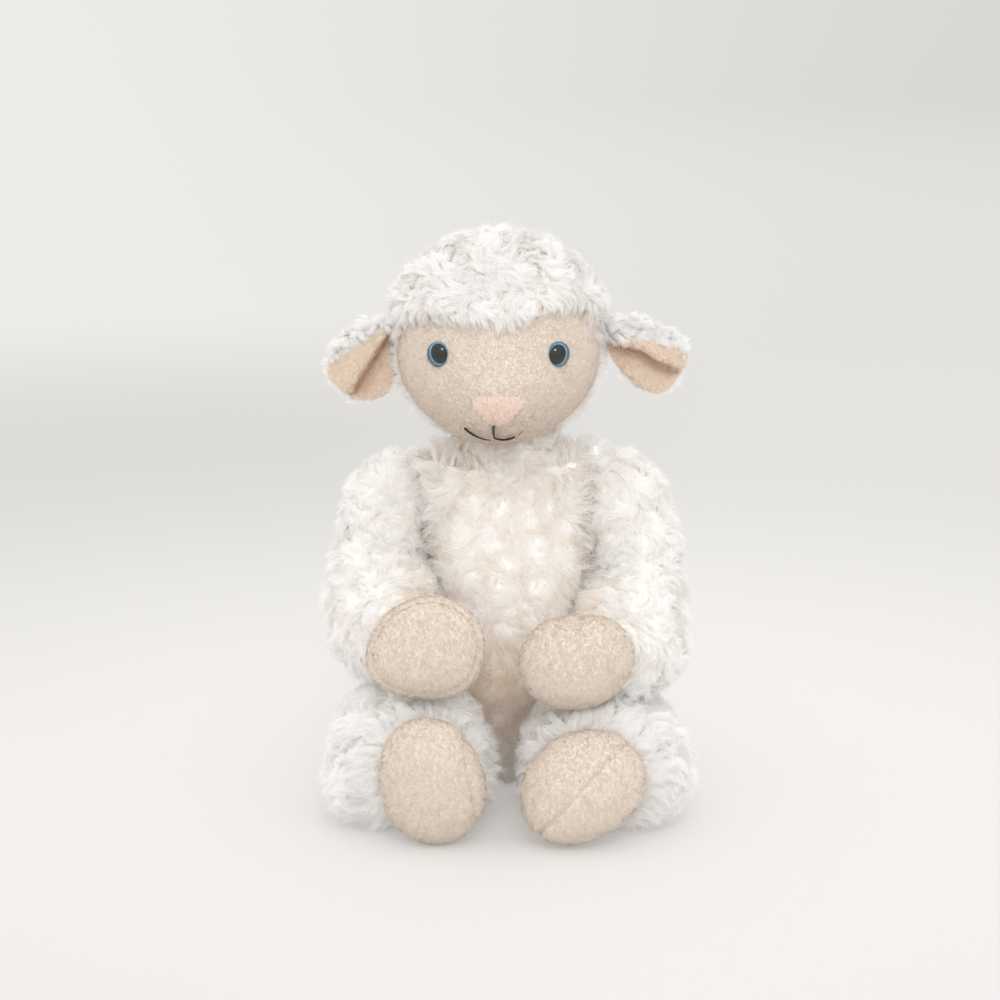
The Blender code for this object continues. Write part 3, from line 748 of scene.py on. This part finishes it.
lump_height = 0.0012
off_floor = 0.0006
chest_half_width = 0.034
shoulder_seat_from = 0.053
torso_foot_round = 0.018
torso_bottom = torso_foot_round - 0.0005
torso_spine = [
    here(0, 0.003 * lean, torso_bottom + (torso_height - torso_bottom) * rise)
    for rise, lean in zip((0, 0.2, 0.4, 0.6, 0.8, 1), (1, 1, 0.2, -0.6, -1.2, -1.6))
]
torso_widths = 0.0475 * np.array([0.93, 1.0, 0.88, 0.77, 0.75, 0.73, 0.58])
torso_depths = 0.044 * np.array([0.76, 0.86, 0.98, 0.97, 0.88, 0.76, 0.62])
shoulders_from = 0.116
hip_spread = 0.0135
collar_rise = 0.005
neck_centre = here(0, -neck_forward, torso_height + neck_lift)


def torso_form(grow):
    form = stuffed_tube(torso_spine, torso_widths, torso_depths, (torso_foot_round,) * 2, (1, 0, 0), grow,
                        facets=132, cap_rows=14, body_rows=62, flatness=0.3)
    places, faces = plump(form, 0.05, lump_height, 3)
    x = (places[:, 0] - stand.x) * (1 + 0.22 * ease(places[:, 2], shoulders_from, torso_height))
    below_seat = fade(places[:, 2], shoulder_seat_from - 0.0015, shoulder_seat_from + 0.006)
    seat = chest_half_width + grow + hip_spread * below_seat
    places[:, 0] = stand.x + np.clip(x, -seat, seat)
    places[:, 2] = np.clip(places[:, 2], off_floor, torso_height + grow)
    from_neck = np.hypot(places[:, 0] - neck_centre[0], places[:, 1] - neck_centre[1])
    places[:, 2] += collar_rise * ease(places[:, 2], 0.128, torso_height) * ease(from_neck, 0.018, 0.025)
    return places, faces


def comb_torso(places, normals):
    x = np.abs(places[:, 0] - stand.x)
    under_arm = ease(x, 0.024, 0.031) * ease(places[:, 2], 0.045, 0.060)
    top = ease(places[:, 2], 0.125, 0.140)
    shoulder = top * ease(x, 0.012, 0.022)
    share = (1 + 0.2 * under_arm * (1 - top)) * (1 + 0.25 * top + 0.5 * shoulder)
    return share, down, 0.25, 1, 1 + 1.2 * np.maximum(under_arm, top)


woolly("torso_wool", "torso", torso_form(bed_drop), {"front": (39000, forward_of), "back": (39000, behind)}, 11,
       comb_torso, "torso_skin", 0.6)


# Neck

def comb_neck(places, normals):
    return 1.2, down, 0.35, 0.8, 1.3


def low_on_neck(places, normals):
    return fade(normals[:, 2], 0.6, 0.85) * ease(places[:, 2], 0.138, 0.142)


neck_form = stuffed_ball(neck_centre, (neck_radius - 0.002,) * 3, rows=48, facets=72)
woolly("neck_wool", "neck", neck_form, {"collar": (15000, low_on_neck)}, 12, comb_neck, "neck_sleeve", 0.6,
       length=0.0055)


# Head

muzzle_reach = 0.0145
muzzle_drop = 0.027
muzzle_spread = 0.0165
face_top = 0.0135
face_back = 0.004
face_corner = 0.012


def muzzle_push(across, up):
    return muzzle_reach * np.exp(-(across**2 + (up + muzzle_drop) ** 2) / (2 * muzzle_spread**2))


def head_shape(places):
    places = places.copy()
    low = np.clip(-places[..., 2] / head_half[2], 0, 1)
    places[..., 0] *= 1 + 0.05 * np.sin(np.pi * low)
    places[..., 1] -= np.where(places[..., 1] < 0, muzzle_push(places[..., 0], places[..., 2]), 0)
    return places


def head_form(grow, facets=144, rows=96):
    return stuffed_ball(head_centre, head_half, grow, shape=head_shape, facets=facets, rows=rows)


def in_window(places):
    """How far inside the face's seam a place on the head is: positive on the face."""
    off = places - head_centre
    front = -face_back - 0.011 * ease(off[:, 2], -0.006, 0.014) - off[:, 1]
    rise = 0.0015 * fade(off[:, 0], -0.036, -0.012) + 0.006 * ease(off[:, 0], 0.006, 0.024)
    under = face_top + rise - off[:, 2]
    corner = np.hypot(np.minimum(front - face_corner, 0), np.minimum(under - face_corner, 0))
    return np.where((front < face_corner) & (under < face_corner), face_corner - corner, np.minimum(front, under))


def off_neck(places, room):
    return np.linalg.norm(places - neck_centre, axis=1) > neck_radius + room


def on_cap(places, normals):
    return (in_window(places) < 0.0008) * off_neck(places, 0.002) * (normals[:, 1] < 0.15)


def on_nape(places, normals):
    return (in_window(places) < 0.0008) * off_neck(places, 0.002) * (normals[:, 1] >= 0.15)


def on_face(places, normals):
    return (in_window(places) > -0.001) * off_neck(places, 0.001) * ~in_nose(places)


def comb_head(places, normals):
    off = places - head_centre
    aside = unit(off * np.array([1, 1, 0]))
    lay = aside * 0.5 + np.array([0, -0.55, -0.75])
    edge = ease(in_window(places), -0.012, 0.0)
    jaw = edge * fade(off[:, 2], face_top - 0.012, face_top - 0.004)
    lay = lay * (1 - jaw)[:, None] + (np.array([0, 0.8, -0.2]) + 0.5 * aside) * jaw[:, None]
    crown = ease(off[:, 2], -0.005, 0.02)
    share = 1 + 0.2 * crown - 0.1 * edge - 0.15 * jaw
    return share, lay, 0.25 + 0.45 * edge, 1 - 0.5 * edge, 1


def comb_face(places, normals):
    off = places - head_centre
    return 1, off * np.array([1, 0.3, 0.8]) + np.array([0, 0, 0.018]), 0.6, 0.5, 1


nose_half_width = 0.0100
nose_half_height = 0.0066
nose_drop = 0.0225


def in_nose(places, margin=0.0):
    off = places - head_centre
    around = np.arctan2((off[:, 2] + nose_drop) / nose_half_height, off[:, 0] / nose_half_width)
    reach = np.hypot(off[:, 0] / nose_half_width, (off[:, 2] + nose_drop) / nose_half_height)
    return (reach < 1 + 0.16 * np.sin(3 * around) + margin) & (off[:, 1] < 0)


def on_nose(places, normals):
    return in_nose(places)


crown_widening = 0.085
under_face_drop = 0.003


def fuller_crown(places):
    """The cap's bed, wider above the ears and drawn in where the face cloth lies over it."""
    off = places - head_centre
    wider = off * np.array([crown_widening, 0, 0]) * ease(off[:, 2], 0.006, 0.022)[:, None]
    return places + wider - unit(off) * (under_face_drop * ease(in_window(places), -0.001, 0.0015))[:, None]


def part_of(form, keep):
    """The faces of a form whose middles are kept, with only their own points."""
    places, faces = form
    middles = np.array([places[list(face)].mean(0) for face in faces])
    kept = [face for face, good in zip(faces, keep(middles)) if good]
    used = sorted({i for face in kept for i in face})
    number = {old: new for new, old in enumerate(used)}
    return places[used], [tuple(number[i] for i in face) for face in kept]


woolly("head_wool", "head", head_form(0), {"cap": (38000, on_cap), "nape": (38000, on_nape)}, 21,
       comb_head, "head_wool", 0.8, lightened_wool, fuller_crown)
face_form = head_form(-0.0010)
velvety("face", "head", face_form, part_of(face_form, lambda places: in_window(places) > -0.0025), face_base,
        face_pile, 62000, 22, comb_face, "face_panel", likely=on_face, **fine_nap)
nose_form = head_form(-0.0004)
velvety("nose", "head", nose_form, part_of(nose_form, in_nose), pink_base, pink_pile, 3200, 23, comb_face,
        "nose_patch", slot="pink_velvet", likely=on_nose, **fine_nap)


# Camera, before what is placed by the photograph's pixels

lens = 85
sensor = 36
target = Vector(here(-0.003, 0, 0.126))
elevation = math.radians(12)
camera_distance = 1.06
camera_data = bpy.data.cameras.new("camera")
camera_data.lens = lens
camera_data.sensor_width = sensor
camera_data.clip_end = 2000
camera = add_thing("camera", camera_data)
camera.location = target + camera_distance * Vector((0, -math.cos(elevation), math.sin(elevation)))
camera.rotation_euler = (target - camera.location).to_track_quat("-Z", "Y").to_euler()
bpy.context.scene.camera = camera
picture_size = 1000


def tree_of(form):
    places, faces = form
    return BVHTree.FromPolygons([tuple(place) for place in places], faces)


def seen_at(tree, x, y):
    """The place and normal where the photograph's pixel meets a form."""
    turn = camera.rotation_euler.to_matrix()
    half = picture_size / 2
    ray = turn @ Vector(((x - half) / picture_size * sensor, (half - y) / picture_size * sensor, -lens))
    place, normal, _, _ = tree.ray_cast(camera.location, ray.normalized())
    return place, normal


# Mouth, stitched in dark thread

skin = tree_of(head_form(-0.0002))
smile = [(465.2, 427.0, 1.2), (471.5, 432.2, 1.25), (480, 436.6, 0.9), (486, 438.4, 0.7), (491, 438.8, 0.5)]
grin = [(494.4, 436.6, 1.0), (500.4, 438.5, 1.0), (508.9, 437.8, 1.25), (514.5, 435.8, 1.1)]
stroke = [(493.8, 425.6, 1.3), (493.5, 431, 1.3), (494.5, 436.8, 1.0)]
last_stitches = [(518.2, 433.8, 0.35), (522.6, 430, 0.3)]


def sew(name, pixels, radius, lift):
    curve = bpy.data.curves.new(name, "CURVE")
    curve.dimensions = "3D"
    curve.bevel_depth = radius
    curve.bevel_resolution = 3
    curve.resolution_u = 8
    curve.use_fill_caps = True
    line = curve.splines.new("BEZIER")
    line.bezier_points.add(len(pixels) - 1)
    for point, (x, y, thickness) in zip(line.bezier_points, pixels):
        place, normal = seen_at(skin, x, y)
        point.co = place + normal * lift
        point.radius = thickness
        point.handle_left_type = "AUTO"
        point.handle_right_type = "AUTO"
    return add_piece(name, "head", curve, thread)


for name, pixels in (("mouth_left", smile), ("mouth_right", grin), ("mouth_middle", stroke),
                     ("mouth_end", last_stitches)):
    sew(name, pixels, 0.0004, 0.0006)


# Ears

ear_length = 0.036
ear_root_radius = 0.006
ear_half_width = 0.0172
ear_half_thickness = 0.006
ear_droop_deg = {"left": 33, "right": 49}
ear_fold_depth = 0.0056
ear_fold_back = 0.0034
ear_lip_height = 0.0020
ear_lining_drop = -0.0022
ear_bed_drop = -0.0036
ear_width_shares = np.array([0.37, 0.77, 1.0, 0.94, 0.64])
ear_thickness_shares = np.array([0.75, 0.92, 1.0, 0.9, 0.65])
ear_reach = {"left": 0.88, "right": 0.80}
ear_upper = {"left": (0.81, 0.80, 0.80, 0.94, 0.74), "right": (0.62, 0.70, 0.84, 0.76, 0.52)}
ear_lower = {"left": (0.50, 0.78, 0.88, 0.98, 0.92), "right": (0.48, 0.72, 1.17, 1.28, 1.05)}
lining_top = {"left": (-0.40, 0.12, 0.42, 0.52, 0.68), "right": (0.0, 0.20, 0.42, 0.68, 1.0)}
fold_place = {"left": (-0.30, -0.15, 0.0, 0.0, 0.12), "right": (-0.27, -0.24, -0.2, -0.22, -0.35)}


def make_ear(side, sign):
    body = f"ear_{side}"
    pivot = np.array(joint_places[f"ear_{side}_flap"])
    droop = math.radians(ear_droop_deg[side])
    onward = np.array([sign * math.cos(droop), 0, -math.sin(droop)])
    upward = np.array([sign * math.sin(droop), 0, math.cos(droop)])
    ear_spine = [pivot + onward * ear_length * i / 4 for i in range(5)]

    def ear_places(places):
        """How far along the ear and how far above its middle line a place is, as shares."""
        off = places - pivot
        along = off @ onward / (ear_length * ear_reach[side])
        above = off @ upward
        width = np.where(above > 0, through(ear_upper[side], along), through(ear_lower[side], along))
        return along, above / (ear_half_width * width)

    def ear_form(grow):
        places, faces = stuffed_tube(ear_spine, ear_half_thickness * ear_thickness_shares,
                                     ear_half_width * ear_width_shares, (ear_root_radius,) * 2, (0, 1, 0), grow,
                                     facets=110, cap_rows=10, body_rows=44)
        off = places - pivot
        along = off @ onward
        above = off @ upward
        share = along / ear_length
        width = np.where(above > 0, through(ear_upper[side], share), through(ear_lower[side], share))
        swell = width / through(ear_width_shares, share)
        places += onward * (along * (ear_reach[side] - 1))[:, None] + upward * (above * (swell - 1))[:, None]
        along, above = ear_places(places)
        front = ease(pivot[1] - places[:, 1], -0.001, 0.002)
        below = through(fold_place[side], along) - above
        ends = ease(along, -0.15, 0.15) * fade(along, 0.95, 1.2)
        fold = ease(below, -0.02, 0.08) * np.exp(-(below / 0.55) ** 2) * ends
        lip = np.exp(-((below + 0.16) / 0.22) ** 2) * ends
        drawn = (ear_fold_depth * fold - ear_lip_height * lip) * front
        places[:, 1] += drawn + ear_fold_back * fold * (1 - front)
        return places, faces

    def under_lining(places):
        """How far below the wool's edge a place on the ear is, as a share."""
        along, above = ear_places(places)
        return through(lining_top[side], along) - above

    def has_lining(places, margin=0.0):
        along, _ = ear_places(places)
        return (under_lining(places) > margin) & (along > -0.15)

    def on_ear_wool(places, normals):
        rim = has_lining(places, 0.06) & (normals[:, 1] < 0.25)
        return ~rim

    def on_lining(places, normals):
        return has_lining(places) * (normals[:, 1] < 0.3)

    def comb_ear(places, normals):
        along, _ = ear_places(places)
        near_lip = fade(np.abs(under_lining(places)), 0, 0.3) * (normals[:, 1] < 0)
        root = fade(along, -0.05, 0.2)
        lay = onward - 0.35 * upward
        return 1 + 0.5 * root - 0.2 * near_lip, lay, 0.45 - 0.1 * root, 0.8 - 0.2 * root, 1 + 0.3 * root

    def comb_lining(places, normals):
        return 1, onward, 0.6, 0.5, 1

    # Painted shade: how deep in the ear's fold a place is, where the lining's nap is painted its dark tan
    def in_fold(places):
        along, above = ear_places(places)
        below = through(fold_place[side], along) - above
        return ease(below, -0.04, 0.03) * np.exp(-(np.maximum(below, 0) / 0.3) ** 2) * fade(along, 0.9, 1.1)

    def is_lined(places):
        return has_lining(places, -0.02) & (places[:, 1] < pivot[1] + 0.0033)

    woolly(f"ear_wool_{side}", body, ear_form(ear_bed_drop), {"pile": (38000, on_ear_wool)}, 31 + sign, comb_ear,
           f"ear_wool_{side}", 0.3, lightened_wool, length=0.0052, gather=0.1, lock_gap=0.002)
    lining_form = ear_form(ear_lining_drop)
    velvety("ear_lining", body, lining_form, part_of(lining_form, is_lined), lining_base, lining_pile, 16000, 33,
            comb_lining, f"ear_lining_{side}", f"_{side}", likely=on_lining, crease=in_fold, **nap)


# Arms

arm_half_width = 0.0215
arm_half_depth = 0.0225
arm_width_shares = np.array([0.92, 0.97, 1.0, 0.98, 0.80])
arm_depth_shares = np.array([0.88, 0.96, 1.0, 0.94, 0.76])
hand_in = {"left": 0.0296, "right": 0.0342}
hand_height = {"left": 0.0735, "right": 0.0805}
hand_forward = 0.079
arm_beside_chest_to = 0.041
hand_half = (0.0247, 0.0155, 0.0215)
hand_seam_depth = 0.0012
hand_turn = np.array(Matrix.Rotation(math.radians(-14), 3, "X"))


pad_drop = -0.0008
least_swell = 0.93  # a pad is drawn in no farther than its filling allows


def pad_form(centre, radii, turn, outline, seam, depth):
    """A stuffed pad. outline gives how far it reaches at angles from the right over the top, as shares of its
    radii. seam gives, from the place in the pad's own radii, how far a seam draws it in."""
    angles, shares = np.array(sorted(outline)).T

    def shape(places):
        right, front, up = (places[..., i] / radii[i] for i in range(3))
        around = np.degrees(np.arctan2(up, right))
        swell = np.mean([np.interp(around + turn, angles, shares, period=360) for turn in (-18, -9, 0, 9, 18)], 0)
        swell = np.maximum(swell, least_swell)
        drawn = 1 - seam(right, front, up) * depth / radii[0]
        return places * np.stack([swell * drawn, drawn ** 1.6, swell * drawn], -1)

    return stuffed_ball(centre, radii, pad_drop, turn, shape, facets=176, rows=120)


def on_seam(value, width):
    """1 on the seam, and 0 away from it on both sides."""
    return np.exp(-(value / width) ** 2)


def comb_paw(places, normals):
    return 1, np.array([0.1, -0.3, -0.8]), 0.55, 0.5, 1


hand_outline = {
    "right": [(-161, 1.11), (-138, 1.18), (-96, 1.02), (-58, 1.18), (-6, 1.0), (19, 1.06), (45, 1.02), (94, 0.99),
              (139, 0.855), (180, 1.0)],
    "left": [(-177, 1.03), (-141, 1.08), (-100, 0.97), (-36, 0.90), (6, 1.01), (34, 1.04), (76, 1.0), (92, 0.84),
             (112, 0.97), (155, 1.0)],
}
hand_seam = {
    "right": lambda right, front, up: on_seam(front + 0.4, 0.07) * 0.6,
    "left": lambda right, front, up: on_seam(right + 0.03 - 0.08 * up, 0.07) * ease(up, -0.1, 0.6) * (front < 0.2),
}


def make_arm(side, sign):
    body = f"arm_{side}"
    pivot = np.array(joint_places[f"arm_{side}_swing"])
    hand_centre = to_side(side, hand_in[side], -hand_forward, hand_height[side])
    wrist = hand_centre + np.array([sign * 0.0145, 0.0165, 0])
    arm_spine = [
        pivot + np.array([sign * 0.0175, 0, 0]),
        to_side(side, 0.0575, -0.0085, hand_height[side] + 0.0165),
        to_side(side, 0.0545, -0.042, hand_height[side] + 0.001),
        wrist,
    ]

    def arm_form(grow):
        form = stuffed_tube(arm_spine, arm_half_width * arm_width_shares, arm_half_depth * arm_depth_shares,
                            (arm_half_depth * arm_depth_shares[0], 0.010), (1, 0, 0), grow, facets=100, cap_rows=12,
                            body_rows=70)
        places, faces = plump(form, 0.04, lump_height, 5 + sign)
        x = (places[:, 0] - stand.x) * sign
        beside_chest = places[:, 1] - stand.y > -arm_beside_chest_to
        x = np.where(beside_chest, np.maximum(x, chest_half_width + 0.0003 - grow), x)
        places[:, 0] = stand.x + sign * x
        over = np.maximum(places[:, 2] - pivot[2], 0)
        places[:, 2] += over * (0.75 * fade(x, 0.034, 0.047) - 0.3 * ease(x, 0.052, 0.068))
        return places, faces

    def comb_arm(places, normals):
        x = (places[:, 0] - stand.x) * sign
        seam = ease(x, 0.036, 0.046)
        cuff = fade(np.linalg.norm(places - wrist, axis=1), 0.012, 0.024)
        seam = np.where(places[:, 1] - stand.y > -0.045, seam, 1)
        under = fade(normals[:, 2], -0.7, -0.1) * fade(places[:, 2], 0.065, 0.085)
        share = (0.95 + 0.05 * seam) * (1 + 0.6 * under)
        lay = down * 0.8 + cuff[:, None] * np.array([-sign * 0.8, -1.2, -0.2])
        return share * (1 - 0.1 * cuff), lay, 0.25 + 0.4 * cuff, 1 - 0.4 * cuff, 1 + 1.2 * (1 - seam)

    woolly(f"arm_wool_{side}", body, arm_form(bed_drop), {"front": (33000, forward_of), "back": (33000, behind)},
           41 + sign, comb_arm, f"arm_sleeve_{side}", 0.6, arm_wool)
    hand_form = pad_form(hand_centre, hand_half, hand_turn, hand_outline[side], hand_seam[side], hand_seam_depth)
    hand = velvety("hand", body, hand_form, hand_form, paw_base, paw_pile, 36000, 44 + sign, comb_paw,
                   f"hand_{side}", f"_{side}", **nap)


# Legs and feet

leg_half_width = 0.033
leg_half_height = 0.0245
ankle_out = 0.0375
ankle_forward = 0.079
foot_half = (0.0225, 0.0155, 0.0285)
foot_seam_depth = 0.0011
foot_out = 0.0314
foot_forward = 0.099
foot_roll_deg = {"left": 41, "right": 4}
foot_lean_deg = {"left": 18, "right": 2}
thigh_rise = {"left": 0.0045, "right": 0.0068}

foot_outline = {
    "right": [(-147, 1.02), (-113, 0.97), (-72, 1.0), (-32, 1.1), (-7, 1.03), (21, 0.92), (58, 0.835), (91, 0.94),
              (119, 1.0), (146, 1.03), (178, 0.98)],
    "left": [(-161, 1.09), (-129, 1.04), (-96, 0.98), (-60, 0.925), (-17, 0.93), (16, 1.10), (46, 1.10), (83, 0.91),
             (125, 0.895), (171, 1.06)],
}
foot_seam = {
    "right": lambda right, front, up: on_seam(right - 0.72, 0.05) * 0.6,
    "left": lambda right, front, up: on_seam(right - 0.05 * up, 0.05) * 0.8 * (front < 0.3),
}


def make_leg(side, sign):
    body = f"leg_{side}"
    hip = np.array(joint_places[f"leg_{side}_splay"])
    ankle = to_side(side, ankle_out, -ankle_forward, hip[2])
    leg_spine = [hip + (ankle - hip) * i / 3 for i in range(4)]

    def leg_form(grow):
        form = stuffed_tube(leg_spine, leg_half_width * np.array([1, 1, 1, 0.9]),
                            leg_half_height * np.array([1, 1, 1, 0.97]), (leg_half_width, 0.012), (1, 0, 0), grow,
                            facets=120, cap_rows=16, body_rows=46)
        places, faces = plump(form, 0.04, lump_height, 8 + sign)
        outer = (places[:, 0] - stand.x) * sign
        forward = -places[:, 1] + stand.y
        places[:, 0] += sign * (0.002 + 0.0045 * ease(forward, 0.035, 0.075)) * ease(outer, 0.050, 0.066)
        lap = 1.15 * ease(forward, 0.020, 0.045) * fade(forward, 0.070, 0.088) * ease(places[:, 2], 0.030, 0.049)
        places[:, 2] += thigh_rise[side] * lap
        places[:, 2] = np.maximum(places[:, 2], off_floor)
        return places, faces

    roll = Matrix.Rotation(math.radians(sign * foot_roll_deg[side]), 3, "Y")
    foot_turn = np.array(Matrix.Rotation(math.radians(-foot_lean_deg[side]), 3, "X") @ roll)
    foot_rise = math.sqrt(((foot_turn[2] * np.array(foot_half)) ** 2).sum())
    foot_centre = to_side(side, foot_out, -foot_forward, foot_rise - 0.0005)

    def off_foot(places):
        """How far a place is from the foot's middle, in the foot's own radii."""
        return np.linalg.norm((places - foot_centre) @ foot_turn / np.array(foot_half), axis=1)

    def comb_leg(places, normals):
        cuff = ease(stand.y - places[:, 1], 0.066, 0.086)
        low = fade(places[:, 2], 0.002, 0.010)
        near_foot = fade(off_foot(places), 1.2, 1.7)
        away = unit(places - foot_centre)
        outer = ease((places[:, 0] - stand.x) * sign, 0.052, 0.070)
        share = (1 + 0.45 * cuff + 0.15 * outer * (1 - cuff)) * (1 - 0.5 * low)
        lay = down * 0.8 * (1 - cuff)[:, None]
        forward = np.array([0, -1.0, 0]) * (1 - 0.6 * near_foot)[:, None]
        lay = lay + cuff[:, None] * (forward + (0.6 + near_foot)[:, None] * away * np.array([1, 0, 1]))
        return share * (1 - 0.15 * near_foot), lay, 0.25 + 0.35 * cuff, 1 - 0.5 * cuff, 1 + 0.7 * cuff

    def on_top(places, normals):
        return (normals[:, 2] > 0.2) * (off_foot(places) > 0.97)

    def on_sole(places, normals):
        return (normals[:, 2] <= 0.2) * (off_foot(places) > 0.97)

    woolly(f"leg_wool_{side}", body, leg_form(bed_drop), {"top": (39000, on_top), "sole": (39000, on_sole)},
           51 + sign, comb_leg, f"leg_sleeve_{side}", 0.6, leg_wool)
    foot_form = pad_form(foot_centre, foot_half, foot_turn, foot_outline[side], foot_seam[side], foot_seam_depth)
    foot = velvety("foot", body, foot_form, foot_form, paw_base, paw_pile, 42000, 54 + sign, comb_paw,
                   f"foot_{side}", f"_{side}", **nap)


for make in (make_ear, make_arm, make_leg):
    for side, sign in sides.items():
        make(side, sign)


# Tail

tail_root = np.array(joint_places["tail_lift"])
tail_tip = tail_root + np.array([0, 0.003, -0.024])
tail_spine = [tail_root + (tail_tip - tail_root) * i / 3 for i in range(4)]
tail_form = stuffed_tube(tail_spine, 0.011 * np.array([0.70, 0.95, 1.0, 0.80]),
                         0.0065 * np.array([0.90, 1.0, 1.0, 0.80]), (0.006, 0.006), (1, 0, 0), -0.0012, facets=56,
                         cap_rows=8, body_rows=24)


def comb_tail(places, normals):
    return 0.8, down, 0.4, 1, 1


woolly("tail_wool", "tail", tail_form, {"pile": (9000, None)}, 61, comb_tail, "tail_wool", 0.4, lightened_wool,
       length=0.0058)


# The part's own pieces that stay: eyes, washers, filling and pellet bags

def dress(node, material):
    mesh = frame["nodes"][node].data
    mesh.materials.clear()
    mesh.materials.append(material)


for side, sign in sides.items():
    eye_places, washer_places = (
        np.array([vertex.co for vertex in frame["nodes"][node].data.vertices])
        for node in (f"eye_{side}", f"eye_washer_{side}")
    )
    axis = unit(eye_places.mean(0) - washer_places.mean(0))
    reach = np.linalg.norm(np.cross(eye_places - washer_places.mean(0), axis), axis=1)
    disc = eye_places[reach > reach.max() - 0.0001].mean(0) + np.array([-0.0004 * sign, 0, -0.0002 * sign])
    dress(f"eye_{side}", eye_finish(tuple(disc), tuple(axis), (0, -math.cos(elevation), math.sin(elevation))))
    dress(f"eye_washer_{side}", washer_plastic)
    for node in (f"arm_stuffing_{side}", f"hand_stuffing_{side}", f"leg_stuffing_{side}"):
        dress(node, filling)
    dress(f"foot_pellet_bag_{side}", pellet_cloth)
for node in ("torso_stuffing", "neck_stuffing", "head_stuffing"):
    dress(node, filling)
dress("seat_pellet_bag", pellet_cloth)


# Floor, backdrop and light

def looked_at(nodes):
    """1 where a surface is seen itself, in a mirror or through glass, and 0 where it only sheds light."""
    rays = [nodes.node("ShaderNodeLightPath", give=f"Is {kind} Ray") for kind in ("Camera", "Glossy", "Transmission")]
    return (rays[0] + rays[1] + rays[2]).clamped()


def floor_finish():
    finish = Finish("pale_floor", Roughness=0.9, Specular_IOR_Level=0.1)
    place = finish.place()
    distance = finish.length(place)
    finish.feed(finish.shader.inputs["Base Color"],
                finish.mix(distance.step(0.15, 1.1), (0.685, 0.665, 0.65), (0.55, 0.545, 0.535)))
    aside = finish.aside(place)
    middle = finish.mix(aside, (0.725, 0.715, 0.69), (0.79, 0.775, 0.75))
    behind_it = finish.mix(aside, (0.845, 0.835, 0.81), (0.77, 0.76, 0.735))
    tone = finish.mix(distance.step(0.0, 0.36), (0.90, 0.872, 0.845), middle)
    tone = finish.mix(distance.step(0.9, 1.7), tone, behind_it)
    tone = finish.mix(distance.step(2.0, 8.0), tone, finish.far_off(place))
    glow = finish.node("ShaderNodeEmission", None, {"Color": tone})
    finish.show("Material Output", finish.node("ShaderNodeMixShader", None, {
        0: (distance.step(0.2, 0.9) * 0.65 + 0.35) * looked_at(finish), 1: Value(finish, finish.shader.outputs[0]),
        2: glow}))
    return finish.material


floor_mesh = bpy.data.meshes.new("floor")
floor_reach = 400.0
floor_corners = [(x * floor_reach, y * floor_reach, 0) for x, y in ((-1, -1), (1, -1), (1, 1), (-1, 1))]
floor_mesh.from_pydata(floor_corners, [], [(0, 1, 2, 3)])
floor_mesh.materials.append(floor_finish())
add_thing("floor", floor_mesh)

studio_white = (1.0, 1.0, 0.995)
studio_strength = 1.28
world = bpy.data.worlds.new("studio")
bpy.context.scene.world = world
studio = Nodes(world)
lit = studio.node("ShaderNodeBackground", None, {"Color": studio_white, "Strength": studio_strength})
backdrop = studio.node("ShaderNodeBackground", None, {"Color": studio.far_off(studio.node("ShaderNodeTexCoord"))})
studio.show("World Output", studio.node("ShaderNodeMixShader", None, {0: looked_at(studio), 1: lit, 2: backdrop}))


def add_sun(name, way, strength, angle_deg):
    data = bpy.data.lights.new(name, "SUN")
    data.energy = strength
    data.angle = math.radians(angle_deg)
    data.color = studio_white
    lamp = add_thing(name, data)
    lamp.rotation_euler = Vector(way).to_track_quat("-Z", "Y").to_euler()


add_sun("big_softbox", (-0.3, 0.8, -0.8), 0.26, 80)
add_sun("small_softbox", (-0.05, 0.72, -0.7), 0.52, 17)

bpy.context.scene.view_settings.view_transform = "Standard"

# White wool is lit by light that goes from fibre to fibre many times
cycles = bpy.context.scene.cycles
cycles.max_bounces = 24
cycles.diffuse_bounces = 14
cycles.transmission_bounces = 16
